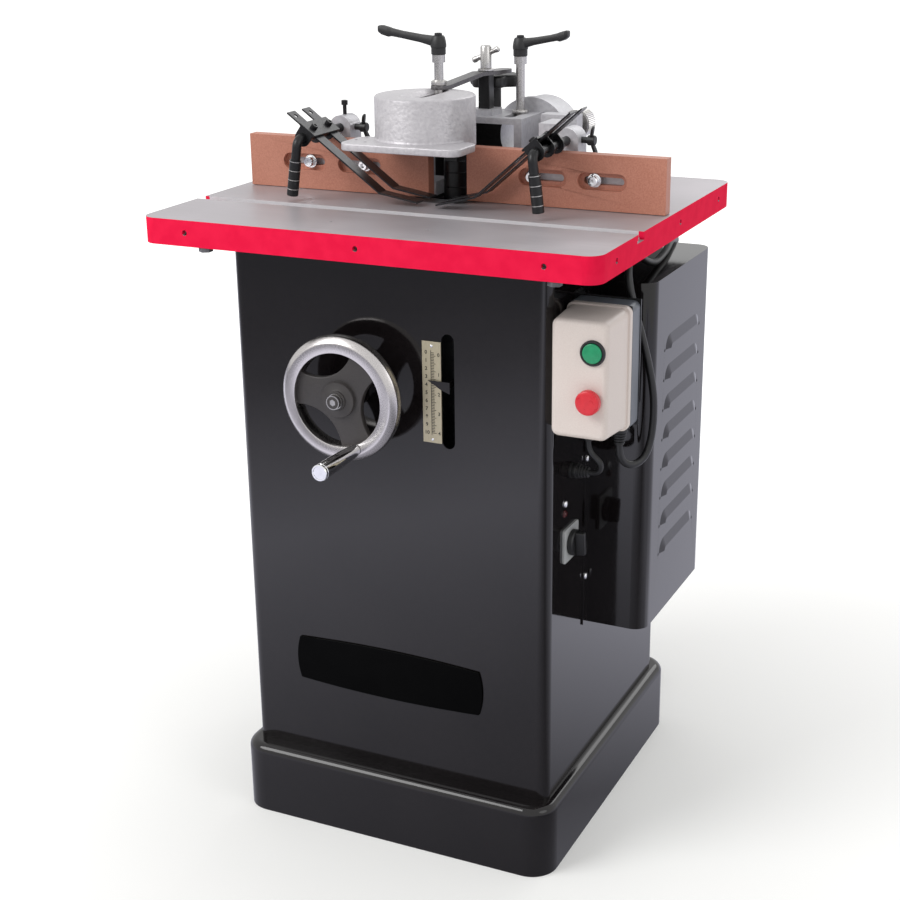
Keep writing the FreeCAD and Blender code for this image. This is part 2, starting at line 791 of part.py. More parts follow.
def machine_table():
    body = rounded_block(-TABLE_SIDE, TABLE_SIDE, TABLE_FRONT, TABLE_REAR, CABINET_TOP, TABLE_TOP,
                         TABLE_CORNER_R)
    pocket_top = TABLE_TOP - TABLE_SKIN
    land = CABINET_SIDE - TABLE_LAND
    outer = CABINET_SIDE + TABLE_RIM
    web_front = MITRE_Y - MITRE_WEB
    web_rear = MITRE_Y + MITRE_WEB
    pad = GUIDE_FLANGE_R + TABLE_RIM
    pockets = [
        (-TABLE_SIDE + TABLE_RIM, -outer, TABLE_FRONT + TABLE_RIM, web_front),
        (-TABLE_SIDE + TABLE_RIM, -outer, web_rear, TABLE_REAR - TABLE_RIM),
        (outer, TABLE_SIDE - TABLE_RIM, TABLE_FRONT + TABLE_RIM, web_front),
        (outer, TABLE_SIDE - TABLE_RIM, web_rear, TABLE_REAR - TABLE_RIM),
        (-land, land, TABLE_FRONT + TABLE_RIM, CABINET_FRONT - TABLE_RIM),
        (-land, -pad, web_rear, CABINET_REAR - TABLE_LAND),
        (pad, land, web_rear, CABINET_REAR - TABLE_LAND),
    ]
    for x0, x1, y0, y1 in pockets:
        body = body.cut(block(x0, x1, y0, y1, CABINET_TOP - OVERCUT, pocket_top))
    cuts = [
        rod((0, SPINDLE_Y, CABINET_TOP - OVERCUT), UP, TABLE_BORE_R, TABLE_THICKNESS + 2 * OVERCUT),
        rod((0, SPINDLE_Y, TABLE_TOP - INSERT_T), UP, INSERT_R, INSERT_T + OVERCUT),
        block(-TABLE_SIDE - OVERCUT, TABLE_SIDE + OVERCUT, MITRE_Y - MITRE_WIDTH / 2,
              MITRE_Y + MITRE_WIDTH / 2,
              TABLE_TOP - MITRE_DEPTH, TABLE_TOP + OVERCUT),
        block(-TABLE_SIDE - OVERCUT, TABLE_SIDE + OVERCUT,
              MITRE_Y - MITRE_FOOT_WIDTH / 2, MITRE_Y + MITRE_FOOT_WIDTH / 2,
              TABLE_TOP - MITRE_DEPTH, TABLE_TOP - MITRE_DEPTH + MITRE_FOOT_HEIGHT),
        rod((CLAMP_X, CLAMP_Y, TABLE_TOP - CLAMP_BITE - OVERCUT), UP, CLAMP_R + RUN_FIT,
            CLAMP_BITE + 2 * OVERCUT),
    ]
    hole_z = TABLE_TOP - EDGE_HOLE_DROP
    for x in FRONT_HOLES_X:
        cuts.append(rod((x, TABLE_FRONT - OVERCUT, hole_z), REAR, EDGE_HOLE_R, EDGE_HOLE_DEPTH + OVERCUT))
    for y in SIDE_HOLES_Y:
        cuts.append(rod((TABLE_SIDE + OVERCUT, y, hole_z), LEFT, EDGE_HOLE_R, EDGE_HOLE_DEPTH + OVERCUT))
    for x, y in TOP_HOLES:
        cuts.append(rod((x, y, TABLE_TOP + OVERCUT), DOWN, TOP_HOLE_R, EDGE_HOLE_DEPTH + OVERCUT))
    for x, y in table_bolt_places():
        cuts.append(rod((x, y, CABINET_TOP - OVERCUT), UP, TABLE_BOLT_R, TABLE_BOLT_REACH + OVERCUT))
    for cutter in cuts:
        body = body.cut(cutter)
    return body


def insert_ring():
    low = TABLE_TOP - INSERT_T
    ring = rod((0, SPINDLE_Y, low), UP, INSERT_R - RUN_FIT, INSERT_T)
    return ring.cut(rod((0, SPINDLE_Y, low - OVERCUT), UP, INSERT_BORE_R, INSERT_T + 2 * OVERCUT))


def table_bolts():
    bolts = []
    for x, y in table_bolt_places():
        under = CABINET_TOP - CABINET_FLANGE_T
        head = hexagon((x, y, under - TABLE_BOLT_HEAD_H), TABLE_BOLT_HEAD_R * math.sqrt(3), TABLE_BOLT_HEAD_H)
        shank = rod((x, y, under), UP, TABLE_BOLT_R - RUN_FIT, CABINET_FLANGE_T + TABLE_BOLT_REACH - GAP)
        bolts.append(one(head.fuse(shank)))
    return Part.makeCompound(bolts)


def bevel_gear(hub_length):
    blank_back = BEVEL_R + BEVEL_DEDENDUM / math.sqrt(2)
    root = BEVEL_R - BEVEL_DEDENDUM / math.sqrt(2)
    scale = (BEVEL_R - BEVEL_FACE) / BEVEL_R
    blank = turned([(0, blank_back * scale), (root * scale, blank_back * scale), (root, blank_back),
                    (BEVEL_HUB_R, blank_back), (BEVEL_HUB_R, blank_back + hub_length),
                    (0, blank_back + hub_length)])
    tip_height = BEVEL_R - BEVEL_ADDENDUM / math.sqrt(2)
    tip_radius = BEVEL_R + BEVEL_ADDENDUM / math.sqrt(2)
    sink = 1 - RUN_FIT
    gear = blank
    for index in range(BEVEL_TEETH):
        turn = 360 * index / BEVEL_TEETH
        rings = []
        for factor in (1, scale):
            corners = []
            for radius, height, spread in ((root * sink, blank_back, -BEVEL_ROOT_ANGLE),
                                           (tip_radius, tip_height, -BEVEL_TIP_ANGLE),
                                           (tip_radius, tip_height, BEVEL_TIP_ANGLE),
                                           (root * sink, blank_back, BEVEL_ROOT_ANGLE)):
                angle = math.radians(turn + spread)
                corners.append(V(radius * math.cos(angle), radius * math.sin(angle), height) * factor)
            rings.append(Part.makePolygon(corners + corners[:1]))
        gear = gear.fuse(Part.makeLoft(rings, True, True))
    return gear


def elevation_guide():
    under = CABINET_TOP - GUIDE_FLANGE_T
    body = rod((0, SPINDLE_Y, GUIDE_LOW), UP, GUIDE_R, CABINET_TOP - GUIDE_LOW)
    body = body.fuse(rod((0, SPINDLE_Y, under), UP, GUIDE_FLANGE_R, GUIDE_FLANGE_T))
    top_high = BRACKET_TOP_LOW + BRACKET_TOP_T
    shelf_rear = BEVEL_Y + SCREW_COLLAR_R + BRACKET_SHELF_T
    body = body.fuse(block(BRACKET_LEFT, BRACKET_RIGHT, BRACKET_FRONT, SPINDLE_Y, BRACKET_TOP_LOW, top_high))
    body = body.fuse(block(BRACKET_LEFT, BRACKET_RIGHT, BRACKET_FRONT, BRACKET_FRONT + BRACKET_LUG,
                           BRACKET_SHELF_LOW, top_high))
    body = body.fuse(block(BRACKET_LEFT, BRACKET_RIGHT, BRACKET_FRONT, shelf_rear,
                           BRACKET_SHELF_LOW, BRACKET_SHELF_LOW + BRACKET_SHELF_T))
    body = body.fuse(block(BRACKET_LEFT, BRACKET_LEFT + BRACKET_WEB, BRACKET_FRONT, shelf_rear,
                           BRACKET_SHELF_LOW, top_high))
    body = body.cut(rod((0, SPINDLE_Y, GUIDE_LOW - OVERCUT), UP, QUILL_R + RUN_FIT,
                        CABINET_TOP - GUIDE_LOW + 2 * OVERCUT))
    body = body.cut(rod((WHEEL_X, BRACKET_FRONT - OVERCUT, WHEEL_Z), REAR, SHAFT_R + RUN_FIT,
                        BRACKET_LUG + 2 * OVERCUT))
    body = body.cut(rod((WHEEL_X, BEVEL_Y, BRACKET_SHELF_LOW - OVERCUT), UP, SCREW_R + RUN_FIT,
                        BRACKET_SHELF_T + 2 * OVERCUT))
    return one(body)


def handwheel_shaft():
    gear = bevel_gear(BEVEL_BACK)
    gear = rotated(gear, (0, 0, 0), UP, QUARTER_TURN)
    gear = placed(gear, (WHEEL_X, BEVEL_Y, WHEEL_Z), FRONT)
    start = WHEEL_FRONT + (WHEEL_RIM_T - HUB_T) / 2
    shaft = rod((WHEEL_X, start, WHEEL_Z), REAR, SHAFT_R, BEVEL_Y - BEVEL_R - start)
    bolt = rod((WHEEL_X, start - SHAFT_BOLT_H, WHEEL_Z), REAR, SHAFT_BOLT_R, SHAFT_BOLT_H)
    return one(gear.fuse(shaft).fuse(bolt))


def lift_screw():
    gear = bevel_gear(WHEEL_Z - BEVEL_R - BEVEL_DEDENDUM / math.sqrt(2)
                      - BRACKET_SHELF_LOW - BRACKET_SHELF_T - GAP)
    gear = rotated(gear, (0, 0, 0), UP, QUARTER_TURN + 180 / BEVEL_TEETH)
    gear = placed(gear, (WHEEL_X, BEVEL_Y, WHEEL_Z), DOWN)
    screw = rod((WHEEL_X, BEVEL_Y, SCREW_LOW), UP, SCREW_R,
                BRACKET_SHELF_LOW + BRACKET_SHELF_T - SCREW_LOW + OVERCUT)
    collar = rod((WHEEL_X, BEVEL_Y, BRACKET_SHELF_LOW - GAP - SCREW_COLLAR_H), UP, SCREW_COLLAR_R,
                 SCREW_COLLAR_H)
    return one(gear.fuse(screw).fuse(collar))


def quill_housing():
    body = rod((0, SPINDLE_Y, QUILL_LOW), UP, QUILL_R, QUILL_HIGH - QUILL_LOW)
    arm = block(WHEEL_X - NUT_ARM_HALF, WHEEL_X + NUT_ARM_HALF, BEVEL_Y - NUT_ARM_REACH, SPINDLE_Y,
                NUT_ARM_LOW, NUT_ARM_LOW + NUT_ARM_T)
    plate = block(0, PLATE_RIGHT, MOTOR_Y - MOTOR_R, MOTOR_Y + MOTOR_R, PLATE_LOW, PLATE_LOW + PLATE_T)
    body = body.fuse(arm).fuse(plate)
    seat = BEARING_R + RUN_FIT
    cuts = [
        rod((0, SPINDLE_Y, QUILL_LOW - OVERCUT), UP, QUILL_BORE_R, QUILL_HIGH - QUILL_LOW + 2 * OVERCUT),
        rod((0, SPINDLE_Y, QUILL_LOW - OVERCUT), UP, seat, BEARING_INSET + BEARING_W + OVERCUT),
        rod((0, SPINDLE_Y, QUILL_HIGH - BEARING_INSET - BEARING_W), UP, seat,
            BEARING_INSET + BEARING_W + OVERCUT),
        rod((WHEEL_X, BEVEL_Y, NUT_ARM_LOW - OVERCUT), UP, SCREW_R + RUN_FIT, NUT_ARM_T + 2 * OVERCUT),
        rod((MOTOR_X, MOTOR_Y, PLATE_LOW - OVERCUT), UP, MOTOR_SHAFT_R + GAP, PLATE_T + 2 * OVERCUT),
    ]
    for cutter in cuts:
        body = body.cut(cutter)
    return one(body)


def spindle_bearings():
    rings = []
    for low in (QUILL_LOW + BEARING_INSET, QUILL_HIGH - BEARING_INSET - BEARING_W):
        ring = rod((0, SPINDLE_Y, low), UP, BEARING_R, BEARING_W)
        rings.append(ring.cut(rod((0, SPINDLE_Y, low - OVERCUT), UP, SPINDLE_R + RUN_FIT,
                                  BEARING_W + 2 * OVERCUT)))
    return Part.makeCompound(rings)


def motor_body():
    low = PLATE_LOW + PLATE_T
    body = rod((MOTOR_X, MOTOR_Y, low), UP, MOTOR_R, MOTOR_LENGTH)
    body = rounded_rim(body, low + MOTOR_LENGTH, MOTOR_WALL)
    hollow = rod((MOTOR_X, MOTOR_Y, low + MOTOR_WALL), UP, MOTOR_R - MOTOR_WALL,
                 MOTOR_LENGTH - 2 * MOTOR_WALL)
    bore = rod((MOTOR_X, MOTOR_Y, low - OVERCUT), UP, MOTOR_SHAFT_R + RUN_FIT, MOTOR_WALL + 2 * OVERCUT)
    return body.cut(hollow).cut(bore)


def motor_shaft():
    return rod((MOTOR_X, MOTOR_Y, PULLEY_LOW), UP, MOTOR_SHAFT_R,
               PLATE_LOW + PLATE_T + MOTOR_WALL + MOTOR_R - PULLEY_LOW)


def pulley(radius, bore):
    rim = radius + PULLEY_RIM
    wheel = turned([(bore + RUN_FIT, 0), (rim, 0), (rim, PULLEY_RIM), (radius, PULLEY_RIM),
                    (radius, PULLEY_W - PULLEY_RIM), (rim, PULLEY_W - PULLEY_RIM), (rim, PULLEY_W),
                    (bore + RUN_FIT, PULLEY_W)])
    return wheel


def spindle_pulley():
    return placed(pulley(SPINDLE_PULLEY_R, COLLAR_R), (0, SPINDLE_Y, PULLEY_LOW), UP)


def motor_pulley():
    return placed(pulley(MOTOR_PULLEY_R, MOTOR_SHAFT_R), (MOTOR_X, MOTOR_Y, PULLEY_LOW), UP)


def belt_loop(extra, low, height):
    span = V(MOTOR_X, MOTOR_Y - SPINDLE_Y, 0)
    small = SPINDLE_PULLEY_R + extra
    large = MOTOR_PULLEY_R + extra
    along = V(span).normalize()
    side = V(-along.y, along.x, 0)
    lean = (large - small) / span.Length
    cross = math.sqrt(1 - lean * lean)
    first = V(0, SPINDLE_Y, low)
    last = V(MOTOR_X, MOTOR_Y, low)
    left = side * cross - along * lean
    right = side * -cross - along * lean
    edges = [
        Part.makeLine(first + left * small, last + left * large),
        Part.Arc(last + left * large, last + along * large, last + right * large).toShape(),
        Part.makeLine(last + right * large, first + right * small),
        Part.Arc(first + right * small, first - along * small, first + left * small).toShape(),
    ]
    return Part.Face(Part.Wire(edges)).extrude(V(0, 0, height))


def drive_belt():
    low = PULLEY_LOW + (PULLEY_W - BELT_W) / 2
    outer = belt_loop(BELT_GAP + BELT_T, low, BELT_W)
    return outer.cut(belt_loop(BELT_GAP, low - OVERCUT, BELT_W + 2 * OVERCUT))


def spindle_shaft():
    profile = [(0, PULLEY_LOW - OVERCUT), (COLLAR_R, PULLEY_LOW - OVERCUT), (COLLAR_R, PULLEY_LOW + PULLEY_W),
               (SPINDLE_R, PULLEY_LOW + PULLEY_W), (SPINDLE_R, SHOULDER_LOW), (SHOULDER_R, SHOULDER_LOW),
               (SHOULDER_R, SHOULDER_HIGH), (NOSE_R, SHOULDER_HIGH), (NOSE_R, NOSE_TOP), (0, NOSE_TOP)]
    return placed(turned(profile), (0, SPINDLE_Y, 0), UP)


def spindle_collars():
    collars = []
    bore = NOSE_R + RUN_FIT
    for low, high in zip(COLLAR_SEAMS, COLLAR_SEAMS[1:]):
        profile = [(bore, low), (COLLAR_R - COLLAR_RELIEF, low), (COLLAR_R, low + COLLAR_RELIEF),
                   (COLLAR_R, high - COLLAR_RELIEF), (COLLAR_R - COLLAR_RELIEF, high), (bore, high)]
        collars.append(placed(turned(profile), (0, SPINDLE_Y, 0), UP))
    return Part.makeCompound(collars)


def spindle_nut():
    low = COLLAR_SEAMS[-1]
    nut = hexagon((0, SPINDLE_Y, low), NUT_ACROSS, NUT_H)
    return nut.cut(rod((0, SPINDLE_Y, low - OVERCUT), UP, NOSE_R + RUN_FIT, NUT_H + 2 * OVERCUT))


def height_pointer():
    foot = PLATE_LOW + PLATE_T
    nose = CABINET_FRONT - POINTER_STAND
    bend = 3 * POINTER_ROD_R
    stem, length, radii = bent_rod([(SLOT_X, POINTER_Y, foot), (SLOT_X, POINTER_Y, POINTER_Z),
                                    (SLOT_X, nose, POINTER_Z)], POINTER_ROD_R, CORD_TANGENT_SHARE, bend)
    tip = POINTER_Z + POINTER_TIP_RISE
    heel = SLOT_X + POINTER_ROD_R
    blade = prism([(POINTER_TIP_X, nose - POINTER_T, tip), (heel, nose - POINTER_T, tip),
                   (heel, nose - POINTER_T, tip - 3 * POINTER_TIP_RISE),
                   (SCALE_RIGHT, nose - POINTER_T, tip - 2 * POINTER_TIP_RISE)], REAR, POINTER_T)
    return one(stem.fuse(blade))


def height_scale():
    return block(SCALE_LEFT, SCALE_RIGHT, CABINET_FRONT - SCALE_T, CABINET_FRONT, SCALE_LOW, SCALE_HIGH)


def badge_plate():
    face = CABINET_FRONT - BADGE_T
    half = BADGE_W / 2
    low = BADGE_Z - BADGE_H / 2
    high = BADGE_Z + BADGE_H / 2
    left = BADGE_X - half
    right = BADGE_X + half
    edges = [
        Part.Arc(V(left, face, low), V(BADGE_X, face, low - BADGE_BOW), V(right, face, low)).toShape(),
        Part.Arc(V(right, face, low), V(right + BADGE_BOW, face, BADGE_Z), V(right, face, high)).toShape(),
        Part.Arc(V(right, face, high), V(BADGE_X, face, high + BADGE_BOW), V(left, face, high)).toShape(),
        Part.Arc(V(left, face, high), V(left - BADGE_BOW, face, BADGE_Z), V(left, face, low)).toShape(),
    ]
    return Part.Face(Part.Wire(edges)).extrude(V(0, BADGE_T, 0))


def handwheel():
    inner = WHEEL_R - WHEEL_RIM_W
    half = WHEEL_RIM_T / 2
    section = Part.Face(rounded_wire(inner, WHEEL_R, -half, half, 0, WHEEL_RIM_ROUND))
    section.rotate(V(0, 0, 0), V(*RIGHT), QUARTER_TURN)
    body = section.revolve(V(0, 0, 0), V(*UP), 360)
    hub_back = (half + HUB_T) / 2
    body = body.fuse(rod((0, 0, half - HUB_T + (HUB_T - WHEEL_RIM_T) / 2), UP, HUB_R, HUB_T))
    reach = inner + WHEEL_RIM_W / 2
    for index in range(SPOKE_COUNT):
        spoke = block(0, reach, -SPOKE_W / 2, SPOKE_W / 2, -SPOKE_T / 2, SPOKE_T / 2)
        body = body.fuse(rotated(spoke, (0, 0, 0), UP, SPOKE_ANGLE + 360 * index / SPOKE_COUNT))
    body = body.cut(rod((0, 0, -HUB_T - hub_back), UP, SHAFT_R + RUN_FIT, 3 * HUB_T))
    angle = math.radians(SPOKE_ANGLE)
    pin = rod((GRIP_RING_R * math.cos(angle), GRIP_RING_R * math.sin(angle), 0), UP, GRIP_PIN_R,
              half + GRIP_LENGTH - GRIP_CAP)
    return placed(one(body.fuse(pin)), (WHEEL_X, WHEEL_MID, WHEEL_Z), FRONT)


def crank_handle():
    bore = GRIP_PIN_R + RUN_FIT
    depth = GRIP_LENGTH - GRIP_CAP + GAP
    third = GRIP_LENGTH / 3
    profile = [(bore, 0), (GRIP_NECK_R, 0), (GRIP_NECK_R, GRIP_CAP), (GRIP_R - OVERCUT, third),
               (GRIP_R, 2 * third), (GRIP_R, GRIP_LENGTH - OVERCUT), (GRIP_R - OVERCUT, GRIP_LENGTH),
               (0, GRIP_LENGTH), (0, depth), (bore, depth)]
    return placed(turned(profile), (GRIP_X, WHEEL_FRONT - GAP, GRIP_Z), FRONT)


def motor_cover():
    back = CABINET_SIDE - COVER_REACH
    body = rounded_block(back, COVER_SIDE, COVER_FRONT, COVER_REAR, COVER_LOW, COVER_HIGH, COVER_BEND_R)
    hollow = rounded_block(back, COVER_SIDE - COVER_WALL, COVER_FRONT + COVER_WALL, COVER_REAR - COVER_WALL,
                           COVER_LOW + COVER_WALL, COVER_HIGH - COVER_WALL, COVER_BEND_R - COVER_WALL)
    body = body.cut(hollow)
    body = body.cut(block(back - OVERCUT, CABINET_SIDE, COVER_FRONT - OVERCUT, COVER_REAR + OVERCUT,
                          COVER_LOW - OVERCUT, COVER_HIGH + OVERCUT))
    for y0, y1 in ((COVER_FRONT - COVER_FLANGE, COVER_FRONT + COVER_WALL),
                   (COVER_REAR - COVER_WALL, COVER_REAR + COVER_FLANGE)):
        body = body.fuse(block(CABINET_SIDE, CABINET_SIDE + COVER_WALL, y0, y1, COVER_LOW, COVER_HIGH))
    for index in range(LOUVRE_COUNT):
        low = LOUVRE_LOW + index * LOUVRE_PITCH
        body = body.fuse(louvre(low, 0, 0)).cut(louvre(low, LOUVRE_SHEET, COVER_WALL))
        for y in (LOUVRE_FRONT, LOUVRE_REAR):
            body = body.cut(rod((COVER_SIDE - COVER_WALL - OVERCUT, y, low), RIGHT, LOUVRE_RELIEF_R,
                                COVER_WALL + LOUVRE_OUT))
    for y, z in cover_screws():
        body = body.cut(screw_shank(y, z))
    return one(body)


def louvre(low, inset, through):
    rings = []
    face = COVER_SIDE - through
    crest = COVER_SIDE + LOUVRE_OUT - inset
    for x, end, top in ((face - OVERCUT, 0, LOUVRE_H), (crest, LOUVRE_END, LOUVRE_LIP)):
        bottom = low - (inset and OVERCUT)
        bend = low + top - inset - bottom
        slant = bend / math.sqrt(2)
        y0 = LOUVRE_FRONT + end + inset
        y1 = LOUVRE_REAR - end - inset
        first = V(x, y0, bottom)
        last = V(x, y1, bottom)
        crown_first = V(x, y0 + bend, bottom + bend)
        crown_last = V(x, y1 - bend, bottom + bend)
        rear_bend = Part.Arc(last, V(x, y1 - bend + slant, bottom + slant), crown_last)
        front_bend = Part.Arc(crown_first, V(x, y0 + bend - slant, bottom + slant), first)
        rings.append(Part.Wire([Part.makeLine(first, last), rear_bend.toShape(),
                                Part.makeLine(crown_last, crown_first), front_bend.toShape()]))
    return Part.makeLoft(rings, True, True)


def cover_screws():
    rows = (COVER_FRONT - COVER_FLANGE / 2, COVER_REAR + COVER_FLANGE / 2)
    return [(y, z) for y in rows for z in COVER_SCREWS_Z]


def panel_screws():
    return cover_screws() + [PANEL_SCREW]


def screw_shank(y, z):
    return rod((CABINET_SIDE + SCREW_SHANK_L / 2, y, z), LEFT, SCREW_SHANK_R, SCREW_SHANK_L)


def side_screws():
    screws = []
    for y, z in panel_screws():
        seat = CABINET_SIDE + (COVER_WALL if (y, z) != PANEL_SCREW else 0)
        head = cone((seat, y, z), RIGHT, SCREW_HEAD_R, SCREW_HEAD_R - OVERCUT, SCREW_HEAD_H)
        shank = rod((seat, y, z), LEFT, SCREW_SHANK_R - RUN_FIT, SCREW_SHANK_L)
        screws.append(one(head.fuse(shank)))
    return Part.makeCompound(screws)


def switch_bracket():
    rear = BOX_REAR + BRACKET_PLATE_T
    plate = block(CABINET_SIDE, BOX_RIGHT + OVERCUT, BOX_REAR, rear, BOX_LOW - OVERCUT,
                  BOX_HIGH + 2 * OVERCUT)
    leg = block(CABINET_SIDE, CABINET_SIDE + BRACKET_PLATE_T, rear, rear + CABINET_FLANGE,
                BOX_LOW - OVERCUT, BOX_HIGH + 2 * OVERCUT)
    return one(plate.fuse(leg))


def box_ring(y, inset):
    wire = rounded_wire(BOX_LEFT + inset, BOX_RIGHT - inset, BOX_LOW + inset, BOX_HIGH - inset, 0,
                        BOX_CORNER_R)
    wire.rotate(V(0, 0, 0), V(*RIGHT), QUARTER_TURN)
    wire.translate(V(0, y, 0))
    return wire


def switch_base():
    body = Part.Face(box_ring(BOX_SPLIT, 0)).extrude(V(0, BOX_REAR - BOX_SPLIT, 0))
    depth = BOX_REAR - BOX_SPLIT - BOX_WALL + OVERCUT
    hollow = Part.Face(box_ring(BOX_SPLIT - OVERCUT, BOX_WALL)).extrude(V(0, depth, 0))
    return body.cut(hollow)


def switch_lid():
    middle = BOX_FRONT + LID_ROUND
    body = Part.makeLoft([box_ring(BOX_SPLIT, 0), box_ring(middle, LID_DRAFT - OVERCUT),
                          box_ring(BOX_FRONT, LID_DRAFT + LID_ROUND - OVERCUT)], True, True)
    hollow = Part.makeLoft([box_ring(BOX_SPLIT + OVERCUT, BOX_WALL),
                            box_ring(middle + BOX_WALL, LID_DRAFT + BOX_WALL)], True, True)
    body = body.cut(hollow)
    for x, z, radius in ((START_X, START_Z, START_R), (STOP_X, STOP_Z, STOP_STEM_R)):
        body = body.cut(rod((x, BOX_FRONT - OVERCUT, z), REAR, radius + RUN_FIT, 4 * BOX_WALL))
    return body


def button(x, z, radius, profile):
    collar_face = BOX_FRONT + LID_ROUND + BOX_WALL + GAP
    body = rod((x, collar_face, z), REAR, radius + BUTTON_COLLAR, BUTTON_COLLAR_H)
    for start, length, size in profile:
        body = body.fuse(rod((x, start, z), REAR, size, length))
    return one(body)


def start_button():
    front = BOX_FRONT - BUTTON_PROUD
    return button(START_X, START_Z, START_R,
                  [(front, BUTTON_PROUD + LID_ROUND + BOX_WALL + OVERCUT, START_R)])


def stop_button():
    front = BOX_FRONT - STOP_PROUD
    body = button(STOP_X, STOP_Z, STOP_STEM_R,
                  [(front, STOP_HEAD, STOP_R),
                   (front, STOP_PROUD + LID_ROUND + BOX_WALL + OVERCUT, STOP_STEM_R)])
    return body


def gland(base, direction, length):
    collar = rod(base, direction, GLAND_R, GLAND_NUT)
    neck = tuple(b + d * GLAND_NUT for b, d in zip(base, direction))
    return one(collar.fuse(cone(neck, direction, GLAND_R - OVERCUT, GLAND_TIP_R, length - GLAND_NUT)))


def cable_glands():
    glands = [gland((x, GLAND_Y, BOX_LOW), DOWN, GLAND_LENGTH) for x in GLAND_X]
    glands.append(gland((CABINET_SIDE, INLET_Y, INLET_Z), RIGHT, INLET_LENGTH))
    return Part.makeCompound(glands)


def reversing_plate():
    wire = rounded_wire(-REVERSING_W / 2, REVERSING_W / 2, -REVERSING_H / 2, REVERSING_H / 2, 0,
                        BOX_CORNER_R / 2)
    plate = Part.Face(wire).extrude(V(0, 0, REVERSING_T))
    plate = plate.cut(rod((0, 0, -OVERCUT), UP, REVERSING_STEM_R + RUN_FIT, REVERSING_T + 2 * OVERCUT))
    plate.rotate(V(0, 0, 0), V(*UP), QUARTER_TURN)
    return placed(plate, (CABINET_SIDE, REVERSING_Y, REVERSING_Z), RIGHT)


def reversing_knob():
    disc = REVERSING_T + GAP
    body = rod((0, 0, disc), UP, REVERSING_DISC_R, REVERSING_DISC_H)
    body = body.fuse(rod((0, 0, -REVERSING_STEM_IN), UP, REVERSING_STEM_R,
                         REVERSING_STEM_IN + disc + OVERCUT))
    bar_low = disc + REVERSING_DISC_H - OVERCUT
    bar = block(-REVERSING_DISC_R, REVERSING_DISC_R, -REVERSING_BAR_W / 2, REVERSING_BAR_W / 2,
                bar_low, bar_low + REVERSING_BAR_H)
    body = one(body.fuse(bar))
    return placed(body, (CABINET_SIDE, REVERSING_Y, REVERSING_Z), RIGHT)


def fence_board(ends, slots_x):
    body = block(ends[0], ends[1], BOARD_FRONT, BOARD_REAR, BOARD_LOW, BOARD_LOW + BOARD_H)
    run = (BOARD_SLOT_L - BOARD_SLOT_H) / 2
    height = TABLE_TOP + BOARD_SLOT_Z
    for x in slots_x:
        for radius, depth in ((BOARD_SLOT_H / 2, BOARD_SLOT_SINK), (BOARD_SLOT_THROUGH_R, BOARD_T + OVERCUT)):
            body = body.cut(slot((x - run, BOARD_FRONT - OVERCUT, height),
                                 (x + run, BOARD_FRONT - OVERCUT, height),
                                 radius, REAR, depth + OVERCUT))
    return body


def board_screws(places_x):
    screws = []
    washer = BOARD_FRONT + BOARD_SLOT_SINK - GAP - BOARD_WASHER_T
    height = TABLE_TOP + BOARD_SLOT_Z
    for x in places_x:
        head = rod((x, washer - BOARD_HEAD_H, height), REAR, BOARD_HEAD_R, BOARD_HEAD_H)
        disc = rod((x, washer, height), REAR, BOARD_WASHER_R, BOARD_WASHER_T)
        shank = rod((x, washer, height), REAR, BOARD_SCREW_R, WING_FRONT + WING_T - washer)
        screws.append(one(head.fuse(disc).fuse(shank)))
    return Part.makeCompound(screws)


def board_screw_holes(body, places_x):
    for x in places_x:
        body = body.cut(rod((x, WING_FRONT - OVERCUT, TABLE_TOP + BOARD_SLOT_Z), REAR,
                            BOARD_SCREW_R + RUN_FIT, WING_T + 2 * OVERCUT))
    return body


def rod_holder(x, low):
    stem = block(x - HOLDER_HALF, x + HOLDER_HALF, HOLDER_FRONT, HOLDER_REAR, low, ROD_Z)
    return stem.fuse(rod((x, HOLDER_FRONT, ROD_Z), REAR, HOLDER_HALF, HOLDER_REAR - HOLDER_FRONT))


def holder_bores(body, x):
    body = body.cut(rod((x, WING_FRONT - OVERCUT, ROD_Z), REAR, ROD_R + RUN_FIT,
                        HOLDER_REAR - WING_FRONT + 2 * OVERCUT))
    return body.cut(rod((x, WING_Y, ROD_Z), RIGHT, WING_SCREW_R + RUN_FIT, HOLDER_HALF + OVERCUT))


